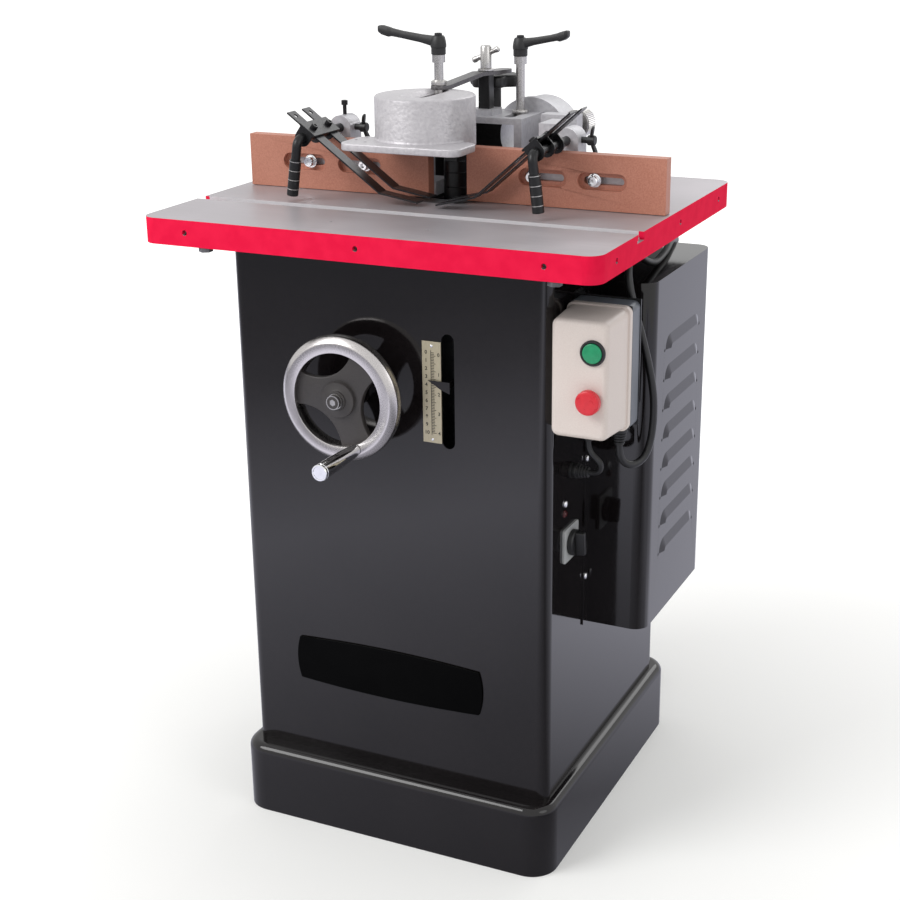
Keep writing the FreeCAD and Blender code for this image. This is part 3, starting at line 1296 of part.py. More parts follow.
def fence_body():
    roof = FENCE_HIGH - FENCE_ROOF
    body = block(FENCE_LEFT, FENCE_RIGHT, FENCE_FRONT, FENCE_REAR, FENCE_LOW, FENCE_HIGH)
    collar_rear = FENCE_REAR + PORT_COLLAR
    body = body.fuse(rod((PORT_X, PORT_FRONT, PORT_Z), REAR, PORT_R + PORT_COLLAR, collar_rear - PORT_FRONT))
    body = body.fuse(rod((PORT_X, FENCE_REAR, PORT_Z), REAR, PORT_R, PORT_REAR - FENCE_REAR))
    body = body.cut(rod((PORT_X, PORT_FRONT + PORT_FACE, PORT_Z), REAR, PORT_BORE_R, PORT_REAR))
    chamber = block(FENCE_LEFT + FENCE_WALL, FENCE_RIGHT - FENCE_WALL, FENCE_FRONT - OVERCUT,
                    FENCE_REAR - FENCE_WALL, FENCE_LOW - OVERCUT, roof)
    throat = rod((PORT_X, FENCE_FRONT, PORT_Z), REAR, PORT_BORE_R, PORT_REAR - FENCE_FRONT)
    throat = throat.common(block(FENCE_LEFT + FENCE_WALL, FENCE_RIGHT - FENCE_WALL, FENCE_FRONT, PORT_REAR,
                                 FENCE_LOW, roof))
    body = body.cut(chamber).cut(throat)
    pad = POST_PAD_W / 2
    body = body.fuse(block(POST_X - pad, POST_X + pad, POST_Y - pad, POST_Y + pad, FENCE_HIGH, POST_LOW))
    wing_high = TABLE_TOP + WING_H
    body = body.fuse(block(LEFT_WING[0], LEFT_WING[1], WING_FRONT, WING_FRONT + WING_T, FENCE_LOW, wing_high))
    body = body.fuse(block(LEFT_CHEEK[0], LEFT_CHEEK[1], WING_FRONT, FENCE_FRONT + FENCE_WALL,
                           FENCE_LOW, TABLE_TOP + CHEEK_H))
    body = body.fuse(block(LEFT_CHEEK[1] - OVERCUT, TOE_RIGHT, WING_FRONT, TOE_REAR, FENCE_LOW,
                           FENCE_LOW + TOE_H))
    body = body.fuse(block(FENCE_RIGHT - OVERCUT, LUG_RIGHT, FOOT_FRONT, FOOT_REAR, FENCE_LOW,
                           TABLE_TOP + FOOT_H))
    body = body.fuse(block(LUG_LEFT, LUG_RIGHT, LUG_FRONT, LUG_REAR, FENCE_LOW, TABLE_TOP + LUG_H))
    body = body.fuse(rod_holder(LEFT_ROD_X, FENCE_LOW))
    body = holder_bores(body, LEFT_ROD_X)
    body = board_screw_holes(body, LEFT_SCREWS_X)
    body = body.cut(slot((CLAMP_X, CLAMP_SLOT[0], roof - OVERCUT), (CLAMP_X, CLAMP_SLOT[1], roof - OVERCUT),
                         CLAMP_SLOT_R, UP, FENCE_ROOF + 2 * OVERCUT))
    body = body.cut(rod((ADJUST_X, LUG_FRONT - OVERCUT, ADJUST_Z), REAR, ADJUST_SCREW_R + RUN_FIT,
                        LUG_REAR - LUG_FRONT + 2 * OVERCUT))
    body = body.cut(rod((STAR_X, STAR_Y, FENCE_HIGH + OVERCUT), DOWN, STAR_PIN_R + RUN_FIT,
                        STAR_PIN_L + 2 * OVERCUT))
    return one(body)


def right_fence_bracket():
    low = FENCE_LOW + GAP
    body = block(RIGHT_WING[0], RIGHT_WING[1], WING_FRONT, WING_FRONT + WING_T, low, TABLE_TOP + WING_H)
    arm_low = TABLE_TOP + FOOT_H + GAP
    arm_left = FENCE_RIGHT + GAP
    arm_right = LUG_LEFT - GAP
    body = body.fuse(block(arm_left, arm_right, WING_FRONT, ARM_REAR, arm_low, arm_low + ARM_H))
    body = body.fuse(block(arm_left, RIGHT_WING[0] + OVERCUT, WING_FRONT, WING_FRONT + WING_T, low,
                           arm_low + ARM_H))
    body = body.fuse(block(ADJUST_BOSS[0], ADJUST_BOSS[1], WING_FRONT + WING_T - OVERCUT, ADJUST_BOSS_REAR,
                           low, TABLE_TOP + ADJUST_BOSS_H))
    body = body.fuse(rod_holder(RIGHT_ROD_X, low))
    body = holder_bores(body, RIGHT_ROD_X)
    body = board_screw_holes(body, RIGHT_SCREWS_X)
    body = body.cut(rod((ADJUST_X, WING_FRONT - OVERCUT, ADJUST_Z), REAR, ADJUST_SCREW_R + RUN_FIT,
                        ADJUST_BOSS_REAR - WING_FRONT + 2 * OVERCUT))
    return one(body)


def micro_adjust_knob():
    knob = rod((ADJUST_X, KNOB_FRONT, ADJUST_Z), REAR, KNOB_R, KNOB_L)
    neck = rod((ADJUST_X, LUG_REAR + GAP, ADJUST_Z), REAR, KNOB_NECK_R, KNOB_FRONT - LUG_REAR)
    screw = rod((ADJUST_X, ADJUST_SCREW_TIP, ADJUST_Z), REAR, ADJUST_SCREW_R, KNOB_FRONT - ADJUST_SCREW_TIP)
    return one(knob.fuse(neck).fuse(screw))


def guard_post():
    half = POST_W / 2
    body = rounded_block(POST_X - half, POST_X + half, POST_Y - half, POST_Y + half, POST_LOW, POST_HIGH,
                         OVERCUT)
    return body.cut(rod((POST_X, POST_Y, POST_HIGH - TEE_DEPTH - OVERCUT), UP, TEE_R + RUN_FIT,
                        TEE_DEPTH + 2 * OVERCUT))


def guard_strap():
    span = math.hypot(POST_X - STUD_X, POST_Y - STUD_Y)
    heading = math.degrees(math.atan2(POST_Y - STUD_Y, POST_X - STUD_X))
    half = STRAP_W / 2
    nose = -span - STRAP_NOSE
    pad = -span + STRAP_PAD
    step = -STRAP_SEAT
    profile = [(nose, -half, STRAP_FOOT), (pad, -half, STRAP_FOOT), (step, -half, STRAP_LOW),
               (STRAP_TAIL, -half, STRAP_LOW), (STRAP_TAIL, -half, STRAP_LOW + STRAP_T),
               (step - STRAP_T / 2, -half, STRAP_LOW + STRAP_T),
               (pad - STRAP_T / 2, -half, STRAP_FOOT + STRAP_T),
               (nose, -half, STRAP_FOOT + STRAP_T)]
    bar = prism(profile, REAR, STRAP_W)
    under = STRAP_FOOT - OVERCUT
    plan = slot((nose + half, 0, under), (STRAP_TAIL - half, 0, under), half, UP,
                STRAP_LOW - STRAP_FOOT + STRAP_T + 2 * OVERCUT)
    bar = bar.common(plan)
    bar = bar.cut(rod((0, 0, STRAP_LOW - OVERCUT), UP, TEE_R + RUN_FIT, STRAP_T + 2 * OVERCUT))
    bar = bar.cut(rod((-span, 0, STRAP_FOOT - OVERCUT), UP, STUD_R + RUN_FIT, STRAP_T + 2 * OVERCUT))
    bar = rotated(bar, (0, 0, 0), UP, heading)
    bar.translate(V(POST_X, POST_Y, 0))
    return bar


def guard_hood():
    half = HOOD_FLANGE_W / 2
    drum = rod((HOOD_X, HOOD_Y, HOOD_LOW), UP, HOOD_R, HOOD_H)
    drum = rounded_rim(drum, HOOD_HIGH, HOOD_EDGE_R)
    flange = rounded_block(HOOD_X - half, HOOD_X + half, HOOD_Y - half, HOOD_Y - half + HOOD_FLANGE_D,
                           HOOD_LOW, HOOD_LOW + HOOD_FLANGE_T, HOOD_FLANGE_R)
    body = drum.fuse(flange)
    body = body.cut(rod((HOOD_X, HOOD_Y, HOOD_LOW - OVERCUT), UP, HOOD_R - HOOD_WALL,
                        HOOD_H - HOOD_ROOF + OVERCUT))
    top = HOOD_HIGH - HOOD_ROOF - OVERCUT
    body = body.cut(slot((HOOD_SLOT_X, HOOD_SLOT[0], top), (HOOD_SLOT_X, HOOD_SLOT[1], top), HOOD_SLOT_R, UP,
                         HOOD_ROOF + 2 * OVERCUT))
    for dx, dy in HOOD_HOLES:
        body = body.cut(rod((HOOD_X + dx, HOOD_Y + dy, HOOD_LOW - OVERCUT), UP, HOOD_HOLE_R,
                            HOOD_FLANGE_T + 2 * OVERCUT))
    return one(body)


def lever(x, y, low, angle, arm):
    hub = rod((0, 0, low), UP, LEVER_HUB_R, LEVER_HUB_H)
    cap = rod((0, 0, low + LEVER_HUB_H), UP, LEVER_CAP_R, LEVER_CAP_H)
    half = LEVER_W / 2
    root = low + LEVER_HUB_H - LEVER_ROOT
    tip = low + LEVER_HUB_H + LEVER_RISE - LEVER_TIP
    waist = arm * 2 / 3
    profile = [(0, -half, root), (LEVER_HUB_R, -half, root), (waist, -half, tip - LEVER_CAP_H),
               (arm - LEVER_TIP, -half, tip), (arm, -half, tip + LEVER_TIP / 2),
               (arm - LEVER_CAP_H, -half, tip + LEVER_TIP), (waist, -half, tip + LEVER_TIP - LEVER_CAP_H),
               (LEVER_HUB_R, -half, low + LEVER_HUB_H - OVERCUT), (0, -half, low + LEVER_HUB_H - OVERCUT)]
    body = hub.fuse(cap).fuse(prism(profile, REAR, LEVER_W))
    body = rotated(body, (0, 0, 0), UP, angle)
    body.translate(V(x, y, 0))
    return body


def left_clamp_lever():
    seat = STRAP_FOOT + STRAP_T + GAP
    hub = seat + LEFT_LEVER_STUD - STUD_COLLAR_H / 2
    body = lever(STUD_X, STUD_Y, hub, LEFT_LEVER_ANGLE, LEVER_ARM)
    under = HOOD_HIGH - HOOD_ROOF - GAP
    body = body.fuse(rod((STUD_X, STUD_Y, under - STUD_HEAD_H), UP, STUD_R,
                         hub - under + STUD_HEAD_H + OVERCUT))
    body = body.fuse(rod((STUD_X, STUD_Y, under - STUD_HEAD_H), UP, STUD_HEAD_R, STUD_HEAD_H))
    body = body.fuse(rod((STUD_X, STUD_Y, seat), UP, STUD_COLLAR_R, STUD_COLLAR_H / 2))
    body = body.fuse(rod((STUD_X, STUD_Y, hub - STUD_COLLAR_H), UP, STUD_COLLAR_R - OVERCUT, STUD_COLLAR_H))
    return one(body)


def right_clamp_lever():
    hub = FENCE_HIGH + RIGHT_LEVER_STUD
    body = lever(CLAMP_X, CLAMP_Y, hub, RIGHT_LEVER_ANGLE, RIGHT_LEVER_ARM)
    body = body.fuse(rod((CLAMP_X, CLAMP_Y, TABLE_TOP - CLAMP_BITE), UP, CLAMP_R,
                         hub - TABLE_TOP + CLAMP_BITE + OVERCUT))
    body = body.fuse(rod((CLAMP_X, CLAMP_Y, FENCE_HIGH + GAP), UP, CLAMP_WASHER_R, CLAMP_WASHER_H))
    body = body.fuse(rod((CLAMP_X, CLAMP_Y, hub - STUD_COLLAR_H), UP, STUD_COLLAR_R - OVERCUT, STUD_COLLAR_H))
    return one(body)


def star_knob():
    seat = FENCE_HIGH + GAP
    low = seat + STAR_POST_H
    ring = STAR_R - STAR_LOBE_R
    body = rod((STAR_X, STAR_Y, low), UP, ring, STAR_T)
    for index in range(STAR_LOBES):
        angle = 2 * math.pi * index / STAR_LOBES
        body = body.fuse(rod((STAR_X + ring * math.cos(angle), STAR_Y + ring * math.sin(angle), low), UP,
                             STAR_LOBE_R, STAR_T))
    body = body.fuse(rod((STAR_X, STAR_Y, seat), UP, STAR_POST_R, STAR_POST_H + OVERCUT))
    body = body.fuse(rod((STAR_X, STAR_Y, seat - STAR_PIN_L), UP, STAR_PIN_R, STAR_PIN_L + OVERCUT))
    return one(body)


def tee_screw():
    seat = STRAP_LOW + STRAP_T + GAP
    body = rod((POST_X, POST_Y, POST_HIGH - TEE_DEPTH), UP, TEE_R, seat - POST_HIGH + TEE_DEPTH + OVERCUT)
    body = body.fuse(rod((POST_X, POST_Y, seat), UP, TEE_WASHER_R, TEE_WASHER_H))
    body = body.fuse(rod((POST_X, POST_Y, seat), UP, TEE_BODY_R, TEE_BODY_H))
    bar = rod((POST_X - TEE_BAR_L / 2, POST_Y, seat + TEE_BODY_H - TEE_BAR_DROP), RIGHT, TEE_BAR_R, TEE_BAR_L)
    bar = rotated(bar, (POST_X, POST_Y, seat + TEE_BODY_H - TEE_BAR_DROP), FRONT, TEE_BAR_TILT)
    return one(body.fuse(bar))


def hold_rod(x, foot):
    corner = (x, LEG_Y, ROD_Z)
    end = (x + foot[0], LEG_Y, ROD_Z + foot[1])
    body, length, radii = bent_rod([(x, ROD_REAR, ROD_Z), corner, end], ROD_R, CORD_TANGENT_SHARE, LEG_BEND_R)
    reach = math.hypot(foot[0], foot[1])
    direction = (foot[0] / reach, 0, foot[1] / reach)
    start = tuple(c + d * (reach - LEG_GRIP_L) for c, d in zip(corner, direction))
    return one(body.fuse(rod(start, direction, LEG_GRIP_R, LEG_GRIP_L)))


def hold_bracket(x, angle, side):
    body = block(-CLEVIS_HALF, CLEVIS_HALF, CLEVIS_FRONT, CLEVIS_REAR, CLEVIS_ROOF,
                 CLEVIS_ROOF + CLEVIS_SHEET)
    for start in (CLEVIS_FRONT, CLEVIS_REAR - CLEVIS_SHEET):
        ear = block(-CLEVIS_EAR_R, CLEVIS_EAR_R, start, start + CLEVIS_SHEET, 0, CLEVIS_ROOF + OVERCUT)
        body = body.fuse(ear).fuse(rod((0, start, 0), REAR, CLEVIS_EAR_R, CLEVIS_SHEET))
    body = body.cut(rod((0, CLEVIS_FRONT - OVERCUT, 0), REAR, ROD_R + RUN_FIT,
                        CLEVIS_REAR - CLEVIS_FRONT + 2 * OVERCUT))
    return hold_placed(one(body), x, angle, side)


def hold_placed(shape, x, angle, side):
    shape = rotated(shape, (0, 0, 0), REAR, angle)
    if side < 0:
        shape = shape.mirror(V(0, 0, 0), V(*RIGHT))
    shape.translate(V(x, 0, ROD_Z))
    return shape


def fingers(x, reach, angle, side):
    strips = []
    bend = math.radians(FINGER_BEND)
    rise = math.sin(bend)
    run = math.cos(bend)
    low = FINGER_RISE
    high = FINGER_RISE + FINGER_T
    for middle in (CLEVIS_FRONT + FINGER_INSET_FRONT, CLEVIS_REAR - FINGER_INSET_REAR):
        y = middle - FINGER_W / 2
        profile = [(reach[0], y, low), (reach[1], y, low),
                   (reach[1] + run * FINGER_TIP, y, low + rise * FINGER_TIP),
                   (reach[1] + run * FINGER_TIP - rise * FINGER_T, y,
                    low + rise * FINGER_TIP + run * FINGER_T),
                   (reach[1] - math.tan(bend / 2) * FINGER_T, y, high), (reach[0], y, high)]
        strip = prism(profile, REAR, FINGER_W)
        strip = strip.cut(rod((reach[0] + FINGER_HOLE_INSET, middle, low - OVERCUT), UP, FINGER_HOLE_R,
                              FINGER_T + 2 * OVERCUT))
        strips.append(hold_placed(strip, x, angle, side))
    return Part.makeCompound(strips)


def wing_screw(x):
    face = x + HOLDER_HALF
    body = rod((face - WING_BITE, WING_Y, ROD_Z), RIGHT, WING_SCREW_R,
               WING_BITE + WING_SCREW_REACH - WING_HUB_L + OVERCUT)
    hub = face + WING_SCREW_REACH - WING_HUB_L
    body = body.fuse(rod((hub, WING_Y, ROD_Z), RIGHT, WING_HUB_R, WING_HUB_L))
    wing = block(hub, hub + WING_DEPTH, WING_Y - WING_SHEET / 2, WING_Y + WING_SHEET / 2,
                 ROD_Z - WING_SPAN / 2, ROD_Z + WING_SPAN / 2)
    wing = rotated(wing, (hub, WING_Y, ROD_Z), RIGHT, WING_TILT)
    return one(body.fuse(wing))


def switch_lead():
    body, length, radii = bent_rod(LEAD_ROUTE, LEAD_R, CORD_TANGENT_SHARE)
    report_lead("switch lead", body, length, radii, LEAD_R)
    return body


def supply_cord():
    body, length, radii = bent_rod(CORD_ROUTE, CORD_R, CORD_TANGENT_SHARE)
    report_lead("supply cord", body, length, radii, CORD_R)
    return body


def report_lead(name, body, length, radii, radius):
    expected = math.pi * radius * radius * length
    print(name, "length", round(length, 1), "least radius", round(min(radii), 1),
          "volume share", round(body.Volume / expected, 4))
    print("radii", [round(value, 1) for value in radii])


def coil_point(turns):
    spread = COIL_STEP * COIL_LAYER_TURNS
    inner = COIL_RADIUS - spread
    if turns <= COIL_LAYER_TURNS:
        radius = COIL_RADIUS - COIL_STEP * turns
        height = 0
    elif turns < COIL_LAYER_TURNS + COIL_CLIMB_TURNS:
        share = (turns - COIL_LAYER_TURNS) / COIL_CLIMB_TURNS
        radius = inner - COIL_STEP * COIL_CLIMB_TURNS * share * (1 - share)
        height = COIL_LAYER_RISE * share * share * (3 - 2 * share)
    else:
        wound = turns - COIL_LAYER_TURNS - COIL_CLIMB_TURNS
        loose = max(0, wound - COIL_LAYER_TURNS + COIL_CLIMB_TURNS) / COIL_CLIMB_TURNS
        radius = inner + COIL_STEP * wound + COIL_FLARE * loose * loose
        height = COIL_LAYER_RISE
    angle = 2 * math.pi * turns
    end = CORD_ROUTE[-1]
    centre_x = end[0] - COIL_RADIUS
    centre_y = end[1] + 2 * CORD_R
    return V(centre_x + radius * math.cos(angle), centre_y + radius * math.sin(angle), end[2] + height)


def coil_direction(turns, total):
    if turns == 0:
        return V(*REAR)
    if turns == total:
        return V(*FRONT)
    return (coil_point(turns + COIL_TANGENT_STEP) - coil_point(turns - COIL_TANGENT_STEP)).normalize()


def coil_wire():
    total = 2 * COIL_LAYER_TURNS + COIL_CLIMB_TURNS
    count = int(round(total * COIL_PIECES_PER_TURN))
    stops = [total * index / count for index in range(count + 1)]
    start = V(*CORD_ROUTE[-1])
    edges = [Part.makeLine(start, coil_point(0))]
    for first, last in zip(stops, stops[1:]):
        edges += biarc(coil_point(first), coil_direction(first, total), coil_point(last),
                       coil_direction(last, total))
    end = coil_point(total)
    tail = end + V(*FRONT) * (2 * CORD_R)
    edges.append(Part.makeLine(end, tail))
    return Part.Wire(edges), tail


def cord_coil():
    wire, tail = coil_wire()
    body = tube(wire, V(*CORD_ROUTE[-1]), V(*REAR), CORD_R)
    points = wire.discretize(Distance=2 * OVERCUT)
    skip = int(math.pi * COIL_RADIUS / (2 * OVERCUT))
    count = len(points)
    gaps = [points[a].distanceToPoint(points[b]) for a in range(count) for b in range(a + skip, count)]
    print("cord coil length", round(wire.Length, 1), "least gap to itself", round(min(gaps) - 2 * CORD_R, 2),
          "volume share", round(body.Volume / (math.pi * CORD_R * CORD_R * wire.Length), 4))
    return body


def supply_plug():
    wire, tail = coil_wire()
    half = PLUG_W / 2
    low = tail.z - PLUG_H / 2
    body = rounded_block(tail.x - half, tail.x + half, tail.y - PLUG_L, tail.y, low, low + PLUG_H,
                         PLUG_EDGE_R)
    for side in (-1, 1):
        body = body.fuse(rod((tail.x + side * PLUG_PIN_SPACING / 2, tail.y - PLUG_L, tail.z), FRONT,
                             PLUG_PIN_R, PLUG_PIN_L))
    return body


pieces["base_plinth"] = base_plinth()
pieces["cabinet_shell"] = cabinet_shell()
pieces["machine_table"] = machine_table()
pieces["insert_ring"] = insert_ring()
pieces["table_bolts"] = table_bolts()
pieces["motor_cover"] = motor_cover()
pieces["side_screws"] = side_screws()
pieces["switch_bracket"] = switch_bracket()
pieces["switch_base"] = switch_base()
pieces["switch_lid"] = switch_lid()
pieces["start_button"] = start_button()
pieces["stop_button"] = stop_button()
pieces["cable_glands"] = cable_glands()
pieces["switch_lead"] = switch_lead()
pieces["reversing_plate"] = reversing_plate()
pieces["reversing_knob"] = reversing_knob()
pieces["badge_plate"] = badge_plate()
pieces["height_scale"] = height_scale()
pieces["elevation_guide"] = elevation_guide()
pieces["quill_housing"] = quill_housing()
pieces["spindle_bearings"] = spindle_bearings()
pieces["motor_body"] = motor_body()
pieces["motor_shaft"] = motor_shaft()
pieces["motor_pulley"] = motor_pulley()
pieces["spindle_pulley"] = spindle_pulley()
pieces["drive_belt"] = drive_belt()
pieces["spindle_shaft"] = spindle_shaft()
pieces["spindle_collars"] = spindle_collars()
pieces["spindle_nut"] = spindle_nut()
pieces["height_pointer"] = height_pointer()
pieces["handwheel"] = handwheel()
pieces["handwheel_shaft"] = handwheel_shaft()
pieces["crank_handle"] = crank_handle()
pieces["lift_screw"] = lift_screw()
pieces["fence_body"] = fence_body()
pieces["guard_post"] = guard_post()
pieces["left_board_screws"] = board_screws(LEFT_SCREWS_X)
pieces["left_fence_board"] = fence_board(LEFT_BOARD, LEFT_SLOTS_X)
pieces["right_fence_bracket"] = right_fence_bracket()
pieces["right_board_screws"] = board_screws(RIGHT_SCREWS_X)
pieces["right_fence_board"] = fence_board(RIGHT_BOARD, RIGHT_SLOTS_X)
pieces["micro_adjust_knob"] = micro_adjust_knob()
pieces["guard_strap"] = guard_strap()
pieces["guard_hood"] = guard_hood()
pieces["left_clamp_lever"] = left_clamp_lever()
pieces["right_clamp_lever"] = right_clamp_lever()
pieces["star_knob"] = star_knob()
pieces["tee_screw"] = tee_screw()
pieces["left_hold_rod"] = hold_rod(LEFT_ROD_X, LEFT_FOOT)
pieces["right_hold_rod"] = hold_rod(RIGHT_ROD_X, RIGHT_FOOT)
pieces["left_hold_bracket"] = hold_bracket(LEFT_ROD_X, LEFT_FINGER_ANGLE, 1)
pieces["right_hold_bracket"] = hold_bracket(RIGHT_ROD_X, RIGHT_FINGER_ANGLE, -1)
pieces["left_fingers"] = fingers(LEFT_ROD_X, LEFT_FINGER, LEFT_FINGER_ANGLE, 1)
pieces["right_fingers"] = fingers(RIGHT_ROD_X, RIGHT_FINGER, RIGHT_FINGER_ANGLE, -1)
pieces["left_wing_screw"] = wing_screw(LEFT_ROD_X)
pieces["right_wing_screw"] = wing_screw(RIGHT_ROD_X)
pieces["supply_cord"] = supply_cord()
pieces["cord_coil"] = cord_coil()
pieces["supply_plug"] = supply_plug()

os.makedirs("parts", exist_ok=True)
for name, shape in pieces.items():
    centred = shape.copy()
    centred.translate(V(0, FRAME_Y, 0))
    centred.exportStep(os.path.join("parts", name + ".step"))
print("pieces", len(pieces), "frame shift", round(FRAME_Y, 2))
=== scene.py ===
# %% [markdown]
# A floor-standing spindle moulder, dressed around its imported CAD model.
# The CAD pieces already have the right places and sizes, so most of them stay and only get a finish.
# Small turned and moulded pieces are remade here, because a close look needs their rounded edges,
# hexagon sockets, ribs and grips. Every size is in millimetres in the machine's own frame.

# %% Load the frame
import math
import bmesh
import bpy
from mathutils import Matrix, Vector


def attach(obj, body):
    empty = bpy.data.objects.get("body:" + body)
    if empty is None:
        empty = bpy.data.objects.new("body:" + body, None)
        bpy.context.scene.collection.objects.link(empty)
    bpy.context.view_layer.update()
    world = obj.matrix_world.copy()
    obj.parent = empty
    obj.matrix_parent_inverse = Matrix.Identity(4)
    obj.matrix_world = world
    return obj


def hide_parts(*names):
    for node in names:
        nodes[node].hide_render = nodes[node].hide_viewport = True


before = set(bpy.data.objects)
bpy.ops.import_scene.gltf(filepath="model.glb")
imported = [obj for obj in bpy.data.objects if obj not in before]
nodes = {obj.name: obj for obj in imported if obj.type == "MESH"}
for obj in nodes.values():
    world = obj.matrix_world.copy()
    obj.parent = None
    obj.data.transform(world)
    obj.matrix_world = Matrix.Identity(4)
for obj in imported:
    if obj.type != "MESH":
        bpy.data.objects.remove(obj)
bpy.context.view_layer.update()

scene = bpy.context.scene

# %% [markdown]
# The machine was drawn about its spindle line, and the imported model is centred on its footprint.
# One shift along Y joins the two, so a point can be written as it was drawn.

# %% Machine frame
MM = 0.001
FRAME_SHIFT_Y = 59.3
UP, DOWN = Vector((0, 0, 1)), Vector((0, 0, -1))
FRONT, REAR = Vector((0, -1, 0)), Vector((0, 1, 0))
RIGHT = Vector((1, 0, 0))


def at(x, y, z):
    return Vector((x, y + FRAME_SHIFT_Y, z)) * MM


def stand(name, data):
    made = bpy.data.objects.new(name, data)
    scene.collection.objects.link(made)
    return made


# %% [markdown]
# The camera stands to the right of the machine's front, a little above the table.
# Its place, tilt and lens were solved from points that show in the photograph, so it is written as
# a position and two directions rather than aimed at a target.

# %% Camera
CAMERA_AT = at(910.963, -1931.638, 1245.935)
LOOK = Vector((-0.40851, 0.84945, -0.33402))
CAMERA_RIGHT = Vector((0.90304, 0.42938, -0.01247))
SENSOR_MM, LENS_MM, SIGHT_M = 36, 64.72, 60
lens = bpy.data.cameras.new("camera")
lens.sensor_width = SENSOR_MM
lens.lens = LENS_MM
lens.clip_end = SIGHT_M
camera = stand("camera", lens)
back = -LOOK.normalized()
right = (CAMERA_RIGHT - back * CAMERA_RIGHT.dot(back)).normalized()
turn = Matrix((right, back.cross(right), back)).transposed()
camera.matrix_world = Matrix.Translation(CAMERA_AT) @ turn.to_4x4()
scene.camera = camera
print("camera", [round(c, 3) for c in CAMERA_AT])

# %% [markdown]
# Finishes come first. Colours are written as sRGB hex values, the way a paint card gives them,
# and one function turns them to the linear values that a shader works in.
# One more function adds a node, sets its options and links or sets its sockets. The short ones after it
# add the few kinds of node that every finish here is built from.

# %% Colour and node helpers
TONE_LOW, TONE_HIGH = 0.35, 0.65
PLAIN_DETAIL = 2
MIX_FACTOR, MIX_FIRST, MIX_SECOND, MIX_RESULT = 0, 6, 7, 2


def linear(hexadecimal):
    channels = [int(hexadecimal[i:i + 2], 16) / 255 for i in (1, 3, 5)]
    return [c / 12.92 if c <= 0.04045 else ((c + 0.055) / 1.055) ** 2.4 for c in channels] + [1]


def add(tree, kind, sockets=None, **options):
    node = tree.nodes.new(kind)
    for name, value in options.items():
        setattr(node, name, value)
    for name, value in (sockets or {}).items():
        if isinstance(value, bpy.types.NodeSocket):
            tree.links.new(value, node.inputs[name])
        else:
            node.inputs[name].default_value = value
    return node


def maths(tree, operation, first, second=0):
    return add(tree, "ShaderNodeMath", {0: first, 1: second}, operation=operation).outputs[0]


def spread(tree, value, to_min, to_max, from_min=0, from_max=1):
    sockets = {"Value": value, "From Min": from_min, "From Max": from_max, "To Min": to_min, "To Max": to_max}
    return add(tree, "ShaderNodeMapRange", sockets).outputs["Result"]


def blend(tree, factor, first, second):
    sockets = {MIX_FACTOR: factor, MIX_FIRST: first, MIX_SECOND: second}
    return add(tree, "ShaderNodeMix", sockets, data_type="RGBA").outputs[MIX_RESULT]


def noise(tree, place, scale, detail=PLAIN_DETAIL):
    return add(tree, "ShaderNodeTexNoise", {"Vector": place, "Scale": scale, "Detail": detail}).outputs["Fac"]


def two_tone(tree, factor, low_hex, high_hex):
    ramp = add(tree, "ShaderNodeValToRGB", {"Fac": factor})
    for stop, place, tone in zip(ramp.color_ramp.elements, (TONE_LOW, TONE_HIGH), (low_hex, high_hex)):
        stop.position = place
        stop.color = linear(tone)
    return ramp.outputs["Color"]


# %% [markdown]
# Almost every finish here is one idea: a grain of a known size that shifts the colour a little,
# makes the gloss uneven and, where a surface isn't flat, lifts it a little.
# A second, broad pattern adds the slow change that handling and dust leave on a big panel.

# %% A finish with grain
BROAD_MM, GRAIN_DETAIL, LEAST_ROUGHNESS = 140, 3, 0.02
materials = {}


def finish(name, low_hex, high_hex, grain_mm, roughness, uneven=0.06, metallic=0, lift_mm=0,
           stretch=(1, 1, 1), specular=0.5):
    material = bpy.data.materials.new(name)
    material.use_nodes = True
    tree = material.node_tree
    shader = tree.nodes["Principled BSDF"]
    place = add(tree, "ShaderNodeTexCoord").outputs["Object"]
    scale = [s / (grain_mm * MM) for s in stretch]
    grain_place = add(tree, "ShaderNodeMapping", {"Vector": place, "Scale": scale}).outputs["Vector"]
    grain = noise(tree, grain_place, 1, GRAIN_DETAIL)
    broad = noise(tree, place, 1 / (BROAD_MM * MM))
    half = maths(tree, "MULTIPLY", maths(tree, "ADD", grain, broad), 0.5)
    tree.links.new(two_tone(tree, half, low_hex, high_hex), shader.inputs["Base Color"])
    smoothest, roughest = max(LEAST_ROUGHNESS, roughness - uneven), roughness + uneven
    gloss = spread(tree, half, smoothest, roughest, TONE_LOW, TONE_HIGH)
    tree.links.new(gloss, shader.inputs["Roughness"])
    shader.inputs["Metallic"].default_value = metallic
    if not metallic:
        shader.inputs["Specular IOR Level"].default_value = specular
    if lift_mm:
        bump = add(tree, "ShaderNodeBump", {"Height": grain, "Distance": lift_mm * MM, "Strength": 1})
        tree.links.new(bump.outputs["Normal"], shader.inputs["Normal"])
    materials[name] = material
    return material


# %% [markdown]
# The cabinet, plinth and motor cover are sheet steel in gloss black powder coat. It flows out almost flat,
# with a faint orange peel some 4 mm across, and shows clear reflections.
# Castings carry hammer enamel: silver on the guard, grey on the fence. Its dimples are drawn 5 mm wide.
# The levers and knobs are glass-filled nylon, matt with a fine speckle, and the boards a smooth
# terracotta panel with pale flecks.

